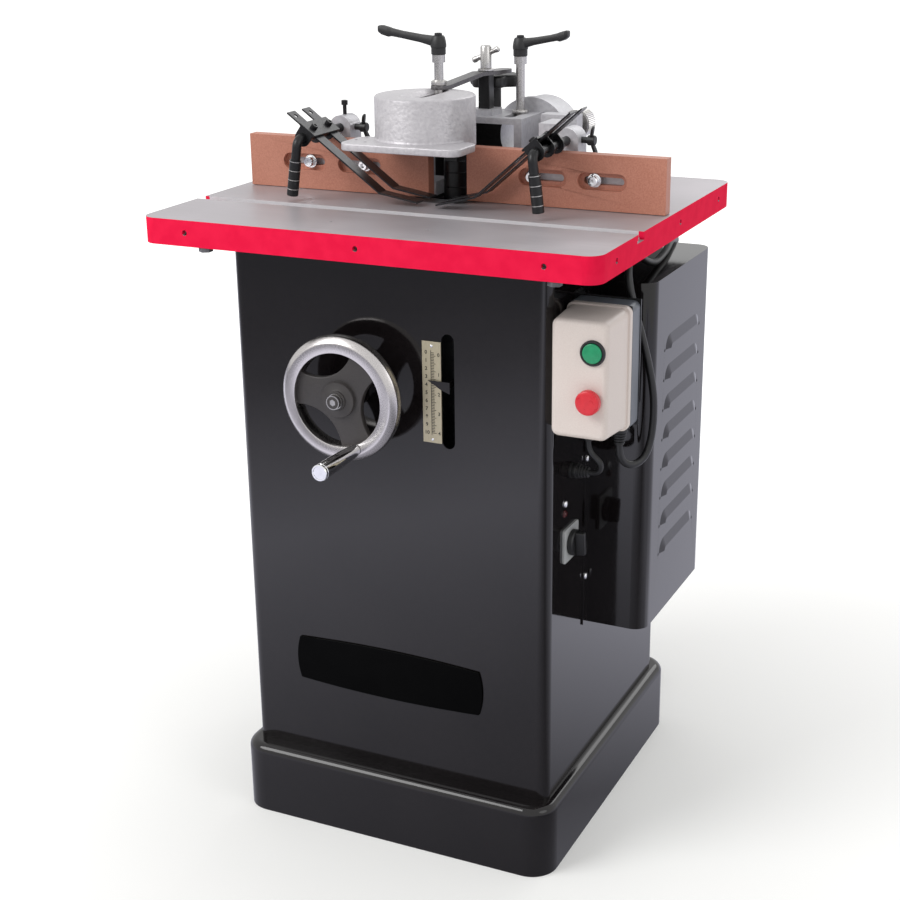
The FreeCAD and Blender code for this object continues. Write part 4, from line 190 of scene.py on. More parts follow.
# %% Finishes of the machine
GREY_HAMMER = ("#B4B3B8", "#CBCACE", 5, 0.42, 0.08, 0.2, 0.5)
finish("gloss_black_powder_coat", "#100D0E", "#181516", 4, 0.08, 0.03, lift_mm=0.012, specular=0.45)
finish("gloss_black_acrylic", "#040404", "#060606", 30, 0.14, 0.02, specular=0.03)
finish("silver_hammer_enamel", "#B6B3B7", "#CECBCE", 5, 0.4, 0.08, metallic=0.25, lift_mm=0.75)
finish("grey_hammer_enamel", *GREY_HAMMER)
finish("terracotta_panel", "#AC6C56", "#C48671", 1.6, 0.46, 0.06, lift_mm=0.02)
finish("polished_rim_iron", "#B4B0AF", "#CECAC9", 0.8, 0.27, 0.05, metallic=1)
finish("dark_spoke_enamel", "#2E2B2B", "#413D3C", 1.2, 0.5, 0.08, lift_mm=0.05)
finish("bright_chrome_plate", "#DADBDD", "#F0F0F2", 12, 0.07, 0.03, metallic=1)
finish("machined_steel", "#A7A5A3", "#C8C6C4", 1, 0.3, 0.08, metallic=1, lift_mm=0.01)
finish("black_oxide_steel", "#161617", "#232325", 2, 0.36, 0.08, metallic=0.4, lift_mm=0.02)
finish("bare_strap_steel", "#575556", "#747273", 2, 0.33, 0.07, metallic=0.8)
finish("satin_label_aluminium", "#B9BBBC", "#CDCFD0", 1, 0.42, 0.05, metallic=0.3)
finish("dark_spring_steel", "#1C1C1E", "#303033", 3, 0.34, 0.08, metallic=0.6, stretch=(0.15, 1, 1))
finish("glass_filled_nylon", "#111112", "#1E1E20", 0.9, 0.48, 0.06, lift_mm=0.04)
finish("cream_abs", "#D8CBC5", "#E1D6D0", 1.5, 0.42, 0.05, lift_mm=0.015)
finish("grey_abs", "#5E626A", "#6D7179", 1.5, 0.45, 0.05, lift_mm=0.015)
finish("green_button_acrylic", "#12885A", "#1D9C69", 6, 0.32, 0.04)
finish("red_button_acrylic", "#CC1D2B", "#DE2B38", 6, 0.28, 0.04)
finish("black_pvc", "#141415", "#202022", 2, 0.42, 0.06, lift_mm=0.02)
finish("champagne_anodised_strip", "#B0A68C", "#C3BAA2", 0.7, 0.38, 0.06, metallic=0.55, stretch=(1, 1, 0.1))
finish("engraver_black", "#1B1814", "#28241E", 1, 0.6)
finish("plain_grey_iron", "#5A5A5C", "#77777A", 2.5, 0.5, 0.08, metallic=0.6, lift_mm=0.08)
finish("dark_red_lens", "#3A0709", "#5A0B0E", 3, 0.15)
finish("drive_rubber", "#19191A", "#242425", 1.5, 0.6)
print("finishes", len(materials))

# %% [markdown]
# The table is one iron casting with several looks. Its top is ground, which leaves fine streaks across the
# machine, drawn 2 mm wide so that they show. Its rim is red enamel, the upright faces of the mitre slot are
# pale grey, a painted highlight for the light they catch, and underneath it is left as cast. The face's own
# direction and its place choose between them, so no mesh is cut.

# %% Table finish
TABLE_HALF_X, TABLE_MIDDLE_Y, TABLE_HALF_Y, RIM_DEPTH = 306, -32.5 + FRAME_SHIFT_Y, 256.5, 6.3
MITRE_Y, MITRE_HALF = -150 + FRAME_SHIFT_Y, 13
STREAK_W, STREAK_L, MOTTLE_MM = 2, 120, 50 / 3
LEVEL_LIMIT = 0.5
IRON_METAL, IRON_SHEEN, PAINT_SHEEN, PAINT_ROUGHNESS = 0.45, 0.5, 0.01, 0.5


def off_middle(tree, test, coordinate, middle, limit):
    away = maths(tree, "ABSOLUTE", maths(tree, "SUBTRACT", coordinate, middle * MM))
    return maths(tree, test, away, limit * MM)


table_finish = finish("ground_iron_and_red_enamel", "#A7A2A6", "#BBB6BA", STREAK_W, 0.42, 0.07,
                      metallic=IRON_METAL, stretch=(STREAK_W / STREAK_L, 1, 1))
tree = table_finish.node_tree
shader = tree.nodes["Principled BSDF"]
ground = shader.inputs["Base Color"].links[0].from_socket
gloss = shader.inputs["Roughness"].links[0].from_socket
texture = add(tree, "ShaderNodeTexCoord").outputs
facing = add(tree, "ShaderNodeSeparateXYZ", {"Vector": texture["Normal"]}).outputs["Z"]
spot = add(tree, "ShaderNodeSeparateXYZ", {"Vector": texture["Object"]}).outputs
at_side = off_middle(tree, "GREATER_THAN", spot["X"], 0, TABLE_HALF_X - RIM_DEPTH)
at_end = off_middle(tree, "GREATER_THAN", spot["Y"], TABLE_MIDDLE_Y, TABLE_HALF_Y - RIM_DEPTH)
by_slot = off_middle(tree, "LESS_THAN", spot["Y"], MITRE_Y, MITRE_HALF)
upright = maths(tree, "LESS_THAN", maths(tree, "ABSOLUTE", facing), LEVEL_LIMIT)
under = maths(tree, "LESS_THAN", facing, -LEVEL_LIMIT)
red = maths(tree, "MULTIPLY", maths(tree, "MAXIMUM", at_side, at_end), upright)
lit_slot_walls = maths(tree, "MULTIPLY", by_slot, upright)
enamel = maths(tree, "MAXIMUM", red, under)
mottle = noise(tree, texture["Object"], 1 / (MOTTLE_MM * MM))
# Painted highlight: the mitre slot's upright faces are blended to pale grey for the light they catch.
colour = blend(tree, lit_slot_walls, ground, linear("#E2E0E2"))
colour = blend(tree, red, colour, two_tone(tree, mottle, "#E81C44", "#EE2249"))
colour = blend(tree, under, colour, linear("#2A2627"))
tree.links.new(colour, shader.inputs["Base Color"])
tree.links.new(spread(tree, enamel, IRON_METAL, 0), shader.inputs["Metallic"])
tree.links.new(spread(tree, enamel, IRON_SHEEN, PAINT_SHEEN), shader.inputs["Specular IOR Level"])
even = add(tree, "ShaderNodeMix", {0: enamel, 2: gloss, 3: PAINT_ROUGHNESS}, data_type="FLOAT").outputs[0]
tree.links.new(even, shader.inputs["Roughness"])
print("table finish nodes", len(tree.nodes))

# %% [markdown]
# Inside its chip chamber, beside the guard, the fence casting is drawn near black: painted shade for that
# dark recess. A box in the casting's own coordinates picks those faces out.

# %% Fence finish
SHADED_CHAMBER = {"X": (-55.5, 61.5), "Y": (43 + FRAME_SHIFT_Y, 119.5 + FRAME_SHIFT_Y), "Z": (849, 937.5)}
tree = finish("grey_enamel_painted_shade_inside", *GREY_HAMMER).node_tree
shader = tree.nodes["Principled BSDF"]
painted = shader.inputs["Base Color"].links[0].from_socket
place = add(tree, "ShaderNodeTexCoord").outputs["Object"]
spot = add(tree, "ShaderNodeSeparateXYZ", {"Vector": place}).outputs
inside = 1
for axis, (low, high) in SHADED_CHAMBER.items():
    for limit, test in ((low, "GREATER_THAN"), (high, "LESS_THAN")):
        inside = maths(tree, "MULTIPLY", inside, maths(tree, test, spot[axis], limit * MM))
# Painted shade: faces inside the chamber box are blended to near black.
tree.links.new(blend(tree, inside, painted, linear("#121112")), shader.inputs["Base Color"])
print("fence finish nodes", len(tree.nodes))

# %% [markdown]
# The free cords are made before anything else that shows. The supply cord leaves the switch box through
# its right-hand gland, loops up behind the box, runs over the motor cover and hangs down behind the
# cabinet. What is left over is wound into a coil on the floor behind the machine, tied and ending in its
# plug. Its line is one smooth NURBS curve through the same route as the CAD tube.

# %% Supply cord
CORD_R = 4.75
CORD_ROUTE = (
    (285, -150, 585), (285, -150, 567), (296, -136, 553), (308, -120, 560),
    (313, -112, 580), (315, -109, 608), (314, -108, 640), (307, -108, 676),
    (297, -108, 712), (286, -108.5, 748), (277, -107, 780), (273, -98, 800),
    (271, -78, 808), (271, -52, 801), (272, -26, 787), (273, 4, 779),
    (269, 40, 778.4), (262, 85, 778.6), (252, 130, 778.9), (244, 172, 778.2),
    (236, 208, 765), (219, 237, 742), (204, 250, 706), (195, 256, 655),
    (190, 259, 585), (186.5, 261, 505), (184, 262.5, 420), (182.2, 263.7, 335),
    (180.8, 264.8, 250), (179.6, 266.2, 168), (178.4, 268, 90), (177.6, 270.4, 50),
    (177.2, 278.6, 29), (177, 293.8, 13.5), (177, 314, 5), (177, 335.4, 5),
)
COIL_RADIUS, COIL_STEP, COIL_RISE, COIL_FLARE = 60, 10.6, 10.1, 27
COIL_MIDDLE = (CORD_ROUTE[-1][0] - COIL_RADIUS, CORD_ROUTE[-1][1] + 2 * CORD_R, 0)
LAYER_TURNS, CLIMB_TURNS, POINTS_PER_TURN = 1.5, 0.5, 16
COIL_TURNS = 2 * LAYER_TURNS + CLIMB_TURNS
CORD_ORDER, CORD_STEPS, CORD_ROUNDING = 3, 6, 4


def coil_point(turns):
    inner = COIL_RADIUS - COIL_STEP * LAYER_TURNS
    radius, height = COIL_RADIUS - COIL_STEP * turns, 0
    if turns > LAYER_TURNS:
        share = min(1, (turns - LAYER_TURNS) / CLIMB_TURNS)
        radius = inner - COIL_STEP * CLIMB_TURNS * share * (1 - share)
        height = COIL_RISE * share * share * (3 - 2 * share)
    if turns >= LAYER_TURNS + CLIMB_TURNS:
        wound = turns - LAYER_TURNS - CLIMB_TURNS
        loose = max(0, wound - LAYER_TURNS + CLIMB_TURNS) / CLIMB_TURNS
        radius = inner + COIL_STEP * wound + COIL_FLARE * loose * loose
    angle = 2 * math.pi * turns
    return (COIL_MIDDLE[0] + radius * math.cos(angle), COIL_MIDDLE[1] + radius * math.sin(angle),
            CORD_ROUTE[-1][2] + height)


def cord_curve(name, route, radius):
    curve = bpy.data.curves.new(name, "CURVE")
    curve.dimensions = "3D"
    curve.bevel_depth = radius * MM
    curve.bevel_resolution = CORD_ROUNDING
    curve.resolution_u = CORD_STEPS
    curve.use_fill_caps = True
    spline = curve.splines.new("NURBS")
    spline.points.add(len(route) - 1)
    for point, place in zip(spline.points, route):
        point.co = (*at(*place), 1)
    spline.order_u = CORD_ORDER
    spline.use_endpoint_u = True
    curve.materials.append(materials["black_pvc"])
    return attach(stand(name, curve), "frame")


count = int(COIL_TURNS * POINTS_PER_TURN)
turns = [coil_point(COIL_TURNS * index / count) for index in range(count + 1)]
tail = (turns[-1][0], turns[-1][1] - 2 * CORD_R, turns[-1][2])
supply = cord_curve("supply_lead", CORD_ROUTE + tuple(turns) + (tail,), CORD_R)
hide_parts("supply_cord", "cord_coil")
print("cord points", len(CORD_ROUTE) + len(turns) + 1, "tail", [round(c, 1) for c in tail])

# %% [markdown]
# A short lead joins the switch box to the motor through the inlet gland on the cabinet's side.
# It is far too short to sag, so its route is a single tight loop.

# %% Motor lead
LEAD_R = 4
LEAD_ROUTE = (
    (244, -150, 585), (244, -150, 571), (259.7, -147.5, 557.9),
    (260.3, -145, 547.6), (253.2, -143, 540), (244, -143, 540),
)
motor_lead = cord_curve("motor_lead", LEAD_ROUTE, LEAD_R)
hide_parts("switch_lead")
print("lead points", len(LEAD_ROUTE))

# %% [markdown]
# New pieces are made at the origin, standing up along Z, and then set in place.
# Turned pieces are a profile spun round the axis, which is how a lathe or a mould for a round part works.
# A profile is closed to the axis at both ends, unless it is a ring.
# A small bevel on every hard edge catches the light the way a broken edge does on the real thing.

# %% Shape helpers
SPIN_STEPS, FINE_STEPS, SMALL_STEPS, TINY_STEPS = 48, 96, 32, 24
SMOOTH_ANGLE = math.radians(34)
HEX, LATHE_MERGE = 6, 0.001


def outward(bm):
    bmesh.ops.recalc_face_normals(bm, faces=bm.faces[:])
    return bm


def to_axis(profile):
    (first_r, first_z), (last_r, last_z) = profile[0], profile[-1]
    return ([(0, first_z)] if first_r else []) + profile + ([(0, last_z)] if last_r else [])


def lathe(profile, steps=SPIN_STEPS, ring=False):
    bm = bmesh.new()
    profile = profile if ring else to_axis(profile)
    points = [bm.verts.new((radius, 0, height)) for radius, height in profile]
    for first, second in zip(points, points[1:] + (points[:1] if ring else [])):
        bm.edges.new((first, second))
    bmesh.ops.spin(bm, geom=bm.verts[:] + bm.edges[:], cent=(0, 0, 0), axis=UP, angle=2 * math.pi,
                   steps=steps, use_merge=True)
    bmesh.ops.remove_doubles(bm, verts=bm.verts[:], dist=LATHE_MERGE)
    return outward(bm)


def bevel(bm, edges, width, segments, clamp=False):
    bmesh.ops.bevel(bm, geom=edges, offset=width, offset_type="OFFSET", segments=segments, profile=0.5,
                    affect="EDGES", clamp_overlap=clamp, material=-1)


def soften(bm, width, segments=2, limit=30):
    hard = [e for e in bm.edges if len(e.link_faces) == 2 and e.calc_face_angle(0) > math.radians(limit)]
    bevel(bm, hard, width, segments, clamp=True)
    return bm


def raised(bm, height):
    grown = bmesh.ops.extrude_face_region(bm, geom=bm.faces[:])
    top = [v for v in grown["geom"] if isinstance(v, bmesh.types.BMVert)]
    bmesh.ops.translate(bm, vec=(0, 0, height), verts=top)
    return outward(bm)


def prism(sides, radius, z0, z1, edge=0):
    bm = bmesh.new()
    bmesh.ops.create_circle(bm, cap_ends=True, segments=sides, radius=radius)
    raised(bm, z1 - z0)
    bmesh.ops.translate(bm, vec=(0, 0, z0), verts=bm.verts[:])
    return soften(bm, edge) if edge else bm


def join(*parts):
    whole = bmesh.new()
    for part in parts:
        mesh = bpy.data.meshes.new("part")
        part.to_mesh(mesh)
        part.free()
        whole.from_mesh(mesh)
        bpy.data.meshes.remove(mesh)
    return whole


def placing(offset, way, spin):
    lean = UP.rotation_difference(Vector(way)).to_matrix().to_4x4()
    return Matrix.Translation(offset) @ lean @ Matrix.Rotation(spin, 4, "Z")


def moved(bm, offset=(0, 0, 0), way=UP, spin=0):
    bm.transform(placing(offset, way, spin))
    return bm


def held(bm, name):
    mesh = bpy.data.meshes.new(name)
    bm.to_mesh(mesh)
    bm.free()
    return stand(name, mesh)


def piece(bm, name, finish_name, body, foot=(0, 0, 0), way=UP, spin=0, stands_for=()):
    bm.transform(placing(at(*foot), way, spin) @ Matrix.Scale(MM, 4))
    made = held(bm, name)
    made.data.shade_smooth()
    made.data.set_sharp_from_angle(angle=SMOOTH_ANGLE)
    made.data.materials.append(materials[finish_name])
    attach(made, body)
    if stands_for:
        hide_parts(*stands_for)
    print(name, "rides", body, "faces", len(made.data.polygons))
    return made


# %% [markdown]
# Sockets and cross recesses are cut with a Boolean, since they are real cuts in the real screw.
# The modifier is applied at once and the cutter removed, so only the finished mesh is left.

# %% Cutting helper
def baked(holder, *others):
    mesh = bpy.data.meshes.new_from_object(holder.evaluated_get(bpy.context.evaluated_depsgraph_get()))
    bm = bmesh.new()
    bm.from_mesh(mesh)
    bpy.data.meshes.remove(mesh)
    for used in (holder, *others):
        store = bpy.data.meshes if used.type == "MESH" else bpy.data.curves
        data = used.data
        bpy.data.objects.remove(used)
        store.remove(data)
    return bm


def carve(bm, *cutters):
    body = held(bm, "carved")
    tools = [held(cutter, "cutter") for cutter in cutters]
    for tool in tools:
        cut = body.modifiers.new("cut", "BOOLEAN")
        cut.operation = "DIFFERENCE"
        cut.solver = "EXACT"
        cut.object = tool
    return baked(body, *tools)


# %% [markdown]
# The handwheel is an iron casting whose rim is turned and polished, flat in front with a wide outer bevel.
# Its three spokes and hub are painted. Their sides are hollow curves: each opening is bounded by the rim
# and by one arc that comes in towards the hub, so the outline is made by spinning single points.

# %% Handwheel
WHEEL = (-41, -263.3, 637)
RIM_IN, RIM_OUT, RIM_HALF = 60, 81, 11
RIM = [(RIM_IN, -8.5), (61.5, -RIM_HALF), (75, -RIM_HALF), (78.5, -10.2), (80.4, -8), (RIM_OUT, -5),
       (RIM_OUT, 2.6), (80.6, 3.8), (79.8, 4.8), (74.2, 10.2), (73, 10.8), (71.6, RIM_HALF),
       (61.4, RIM_HALF), (60.5, 10.6), (RIM_IN, 9.6)]
SPOKE_ANGLE, SPOKE_HALF, SPOKE_COUNT = math.radians(-68), math.radians(21), 3
SPIDER_R, SPIDER_HALF, WAIST_R, SPIDER_EDGE = 60.8, 4.5, 31, 1.4
END_STEPS, HOLLOW_STEPS, MERGE = 10, 20, 0.05
HUB_R, HUB_HALF, SHAFT_R = 23, 15, 10.1
HUB = [(SHAFT_R, -HUB_HALF), (20, -HUB_HALF), (HUB_R, -12), (HUB_R, 8.5), (22.4, 9.4), (13.6, 9.9),
       (12.8, 10.4), (12.4, 12.6), (11.6, 13.4), (SHAFT_R, 13.4)]
WHEEL_BOLT = [(7.4, 21.3), (8.5, 20.7), (9.05, 19.6), (9.05, 15.2)]
WHEEL_SOCKET = (4.4, 17, 22)


def polar(radius, angle):
    return Vector((radius * math.cos(angle), radius * math.sin(angle), 0))


piece(lathe(RIM, FINE_STEPS, ring=True), "wheel_rim", "polished_rim_iron", "wheel", WHEEL, FRONT,
      stands_for=["handwheel"])
corner = polar(SPIDER_R, math.pi / SPOKE_COUNT - SPOKE_HALF)
reach = (corner.length_squared - WAIST_R ** 2) / (2 * (corner.x - WAIST_R))
hollow = math.atan2(corner.y, reach - corner.x)
spider = bmesh.new()
for index in range(SPOKE_COUNT):
    middle = SPOKE_ANGLE + 2 * math.pi * index / SPOKE_COUNT
    end = spider.verts.new(polar(SPIDER_R, middle - SPOKE_HALF))
    bmesh.ops.spin(spider, geom=[end], cent=(0, 0, 0), axis=UP, angle=2 * SPOKE_HALF, steps=END_STEPS)
    edge = spider.verts.new(polar(SPIDER_R, middle + SPOKE_HALF))
    bmesh.ops.spin(spider, geom=[edge], cent=polar(reach, middle + math.pi / SPOKE_COUNT), axis=UP,
                   angle=-2 * hollow, steps=HOLLOW_STEPS)
bmesh.ops.remove_doubles(spider, verts=spider.verts[:], dist=MERGE)
bmesh.ops.contextual_create(spider, geom=spider.edges[:])
raised(spider, 2 * SPIDER_HALF)
bmesh.ops.translate(spider, vec=(0, 0, -SPIDER_HALF), verts=spider.verts[:])
soften(spider, SPIDER_EDGE, segments=3, limit=50)
piece(join(spider, lathe(HUB, ring=True)), "wheel_spokes", "dark_spoke_enamel", "wheel", WHEEL, FRONT)
piece(carve(lathe(WHEEL_BOLT), prism(HEX, *WHEEL_SOCKET)), "wheel_bolt_head", "dark_spoke_enamel", "wheel",
      WHEEL, FRONT)

# %% [markdown]
# The crank handle turns on a pin in the rim. It is turned steel with bright plating: a narrow neck, a long
# swell, and a flat end inside a raised ring.

# %% Crank handle
GRIP_AT = (-16.28, -274.6, 575.81)
GRIP = [(6.9, 0.4), (7.5, 1.2), (7.5, 5.6), (8.1, 7.4), (8.9, 20), (9.9, 42), (10.4, 60),
        (10.5, 78), (10.4, 85.4), (9.8, 86), (9.8, 86.6), (10.5, 87.2), (10.5, 90), (9.7, 91),
        (8.3, 91), (7.9, 90.2)]
piece(lathe(GRIP), "crank_grip", "bright_chrome_plate", "crank", GRIP_AT, FRONT,
      stands_for=["crank_handle"])

# %% [markdown]
# Both clamp levers are the same moulding: a bell over a steel stud and an arm that rises and ends in a
# thicker, turned-up tip. The arm grows from one face, extruded from station to station, and a subdivision
# surface rounds it. A station gives the distance out, the height, and half the width and the depth.

# %% Clamp levers
ARM_STATIONS = ((0, 15, 6.6, 7.6), (10, 17, 6.2, 6.4), (24, 19.4, 5.4, 5.2), (52, 23.6, 5.2, 4.7),
                (66, 26, 5.7, 5), (71, 26.4, 6.3, 6.2), (80, 28.6, 6.5, 6), (86, 30.4, 5.4, 4.2))
LONG_ARM, SHORT_ARM, ARM_CREASE, SMOOTH_LEVELS = 86, 69, 0.35, 2
BELL = [(8.9, 0), (9.5, 0.7), (9.5, 8.4), (10.3, 9.2), (10.3, 12.6), (9.7, 17), (8.6, 21.6),
        (7.4, 23.4), (5.6, 24)]
STUD_CAP = [(5, 23), (5, 26.2), (4.4, 26.9)]
CAP_SOCKET = (2.8, 24.6, 28)


def lever_arm(length):
    bm = bmesh.new()
    bmesh.ops.create_grid(bm, x_segments=1, y_segments=1, size=1)
    bmesh.ops.rotate(bm, cent=(0, 0, 0), matrix=Matrix.Rotation(math.pi / 2, 3, "Y"), verts=bm.verts[:])
    face = bm.faces[:][0]
    level = 0
    for index, (x, height, half_width, half_height) in enumerate(ARM_STATIONS):
        if index:
            grown = bmesh.ops.extrude_face_region(bm, geom=[face])
            face = [f for f in grown["geom"] if isinstance(f, bmesh.types.BMFace)][0]
        for vert in face.verts:
            across = math.copysign(half_width, vert.co.y)
            rise = math.copysign(half_height, vert.co.z - level)
            vert.co = (x * length / LONG_ARM, across, height + rise)
        level = height
    outward(bm)
    crease = bm.edges.layers.float.new("crease_edge")
    for edge in bm.edges:
        edge[crease] = ARM_CREASE
    return bm


def subdivided(bm):
    shape = held(bm, "shape")
    smooth = shape.modifiers.new("smooth", "SUBSURF")
    smooth.levels = smooth.render_levels = SMOOTH_LEVELS
    return baked(shape)


def clamp_lever(name, body, foot, length, heading, node):
    cap = carve(lathe(STUD_CAP), prism(HEX, *CAP_SOCKET))
    moulding = join(lathe(BELL), subdivided(lever_arm(length)), cap)
    piece(moulding, name + "_lever_moulding", "glass_filled_nylon", body, foot, UP, heading,
          stands_for=[node])


LEFT_STUD, LEFT_HUB = (-24, -6), 1029.8
RIGHT_STUD, RIGHT_HUB = (47, 97), 1020
clamp_lever("left", "left_lever", (*LEFT_STUD, LEFT_HUB), LONG_ARM, math.pi, "left_clamp_lever")
clamp_lever("right", "right_lever", (*RIGHT_STUD, RIGHT_HUB), SHORT_ARM, 0, "right_clamp_lever")

# %% [markdown]
# Under each lever its steel stud shows, with a round sleeve below the bell. The left one ends in a nut on the
# guard's strap and a foot inside the guard, and the right one goes down through a washer on the fence.

# %% Lever studs
STUD_R, STUD_BORE, SLEEVE_R = 6, 6.1, 8.6
LEFT_SHANK = [(8, 971.9), (8, 976.9), (STUD_R, 976.9), (STUD_R, LEFT_HUB)]
NUT_FACE = [(STUD_BORE, 996.4), (8.8, 996.4), (8.2, 997.4), (STUD_BORE, 997.4)]
RIGHT_SHANK = [(STUD_R, 839.2), (STUD_R, RIGHT_HUB)]


def sleeve(inner, outer, low, high, edge=0):
    bm = lathe([(inner, low), (outer, low), (outer, high), (inner, high)], ring=True)
    return soften(bm, edge) if edge else bm


left_stud = join(lathe(LEFT_SHANK), prism(HEX, 10.4, 990.9, 996.4, edge=0.5), lathe(NUT_FACE, ring=True),
                 sleeve(STUD_BORE, SLEEVE_R, 1019.8, 1029.4))
piece(left_stud, "left_lever_stud", "machined_steel", "left_lever", (*LEFT_STUD, 0))
right_stud = join(lathe(RIGHT_SHANK), sleeve(STUD_BORE, 11, 945.4, 949.3, edge=0.5),
                  sleeve(STUD_BORE, SLEEVE_R, 1009.8, 1019.6))
piece(right_stud, "right_lever_stud", "machined_steel", "right_lever", (*RIGHT_STUD, 0))

# %% [markdown]
# The guard's strap is held on its post by a tee screw: a turned body with a loose cross bar whose ends are
# swaged so that it can't fall out. Behind the post a star knob with six rounded lobes sits on its own stem.

# %% Tee screw and star knob
TEE_AT = (8, 72, 1002.1)
TEE_BODY = [(5, -35.6), (5, 0), (10.4, 0), (11, 0.5), (11, 2.5), (10.4, 3), (7, 3),
            (7.5, 3.6), (7.5, 30.6), (6.4, 32.6), (5.4, 33)]
TEE_BAR = [(0, -21), (2.6, -20.8), (3.8, -19.6), (4.2, -16.8), (3.4, -13.4), (3.2, 13.4), (4, 16.8),
           (3.8, 19.6), (2.6, 20.8), (0, 21)]
BAR_Z, BAR_TILT = 21, math.radians(24)
tee_bar = moved(lathe(TEE_BAR, TINY_STEPS), (0, 0, BAR_Z), (math.cos(BAR_TILT), 0, math.sin(BAR_TILT)))
piece(join(lathe(TEE_BODY), tee_bar), "tee_screw_turned", "machined_steel", "tee", TEE_AT,
      stands_for=["tee_screw"])

STAR_AT = (0, 118, 976.8)
LOBES, STAR_MEAN, STAR_WAVE, STAR_H, STAR_EDGE = 6, 31.4, 4.4, 16, 4
STAR_STEM = [(5, -38), (5, -31.4), (9, -31.4), (9, 0.5)]
STAR_BOSS = [(12, 15.5), (11.4, 17), (10, 17.4)]
star = bmesh.new()
bmesh.ops.create_circle(star, cap_ends=True, segments=FINE_STEPS, radius=STAR_MEAN)
for vert in star.verts:
    wave = STAR_MEAN + STAR_WAVE * math.cos(LOBES * math.atan2(vert.co.y, vert.co.x))
    vert.co *= wave / vert.co.length
soften(raised(star, STAR_H), STAR_EDGE, segments=4, limit=50)
piece(join(star, lathe(STAR_STEM), lathe(STAR_BOSS)), "star_knob_moulding", "glass_filled_nylon", "star",
      STAR_AT, stands_for=["star_knob"])

# %% [markdown]
# The fine adjuster of the right-hand fence is a knurled knob on a screw. Its knurl is a ring of
# flutes about 2.5 mm apart: every other point of a circle is drawn in, then the ring is extruded.

# %% Fine adjuster
ADJUST_AT = (132, 85, 936)
FLUTES, KNURL_R, KNURL_DEPTH, KNURL_L = 48, 19, 0.9, 25
SHOULDER = [(8.4, -12.7), (9, -12), (9, -0.8), (17, -0.8), (17.6, 0.2)]
CROWN = [(17.8, 24.8), (17, 28.4), (15.6, 29.6), (13, 30), (7, 30), (6.2, 29), (6, 27)]
ADJUST_SCREW = [(4.4, -83), (5, -82.2), (5, -12)]
knurl = bmesh.new()
bmesh.ops.create_circle(knurl, cap_ends=True, segments=2 * FLUTES, radius=KNURL_R)
for vert in knurl.verts:
    if round(math.atan2(vert.co.y, vert.co.x) / (math.pi / FLUTES)) % 2:
        vert.co *= (KNURL_R - KNURL_DEPTH) / KNURL_R
piece(join(raised(knurl, KNURL_L), lathe(SHOULDER), lathe(CROWN), lathe(ADJUST_SCREW)), "fine_adjuster_knob",
      "machined_steel", "micro_knob", ADJUST_AT, REAR, stands_for=["micro_adjust_knob"])

# %% [markdown]
# Small screws are what the eye finds first on a machine: cap screws with a hexagon socket, washers under
# them, and pan heads with a cross recess. Each is turned, then its recess is cut.

# %% Screw shapes
HEAD_EDGE, SOCKET_FLOOR, SHANK_OVERLAP, CUT_PAST = 0.7, 0.45, 0.1, 1
PAN_DOME = ((1, 0.35), (0.86, 0.7), (0.55, 0.94), (0.2, 1))
CROSS_REACH, CROSS_HALF, CROSS_FLOOR = 0.55, 0.45, 0.5


def cuboid(x0, x1, y0, y1, z0, z1, edge=0):
    bm = bmesh.new()
    bmesh.ops.create_cube(bm, size=1)
    bmesh.ops.scale(bm, vec=(x1 - x0, y1 - y0, z1 - z0), verts=bm.verts[:])
    bmesh.ops.translate(bm, vec=((x0 + x1) / 2, (y0 + y1) / 2, (z0 + z1) / 2), verts=bm.verts[:])
    return soften(bm, edge) if edge else bm


def block(half_x, half_y, z0, z1, edge=0):
    return cuboid(-half_x, half_x, -half_y, half_y, z0, z1, edge)


def cap_screw(head_r, head_h, socket_r, shank_r, shank_l):
    head = lathe([(head_r, 0), (head_r, head_h - HEAD_EDGE), (head_r - HEAD_EDGE, head_h)], SMALL_STEPS)
    head = carve(head, prism(HEX, socket_r, head_h * SOCKET_FLOOR, head_h + CUT_PAST))
    shank = [(shank_r, -shank_l), (shank_r, SHANK_OVERLAP)]
    return join(head, lathe(shank, TINY_STEPS))


def pan_screw(head_r, head_h):
    dome = [(head_r, 0)] + [(head_r * out, head_h * up) for out, up in PAN_DOME]
    arm, low, high = head_r * CROSS_REACH, head_h * CROSS_FLOOR, head_h + CUT_PAST
    return carve(lathe(dome, SMALL_STEPS), block(arm, CROSS_HALF, low, high),
                 block(CROSS_HALF, arm, low, high))


# %% [markdown]
# The fence boards are clamped through their slots, so each screw has a washer and a spring washer under it.
# They go on the fence casting and on the right-hand bracket, and stay while the boards slide.

# %% Board screws
BOARD_SCREW, BOARD_SCREW_Z, WASHER_Y = (6.5, 6.4, 3.4, 4, 27), 886.5, -37.9
WASHER_BORE, WASHER_R, SPRING_R, WASHER_T, WASHER_EDGE = 4.1, 9, 7, 1.7, 0.3
BOARD_SCREWS = {"left": ("fence", (-201.6, -118.4)), "right": ("right_fence", (122, 205.3))}
for side, (body, places) in BOARD_SCREWS.items():
    parts = []
    for x in places:
        washer = sleeve(WASHER_BORE, WASHER_R, 0, WASHER_T, WASHER_EDGE)
        spring = sleeve(WASHER_BORE, SPRING_R, WASHER_T, 2 * WASHER_T, WASHER_EDGE)
        screw = moved(cap_screw(*BOARD_SCREW), (0, 0, 2 * WASHER_T))
        parts.append(moved(join(washer, spring, screw), (x, WASHER_Y, BOARD_SCREW_Z), FRONT))
    piece(join(*parts), side + "_board_cap_screws", "bright_chrome_plate", body,
          stands_for=[side + "_board_screws"])

# %% [markdown]
# Six pan heads hold the motor cover by its two flanges, and one more sits in the cabinet's side above the
# reversing switch. No two recesses on a real machine stop at the same angle, so each is turned a little on.

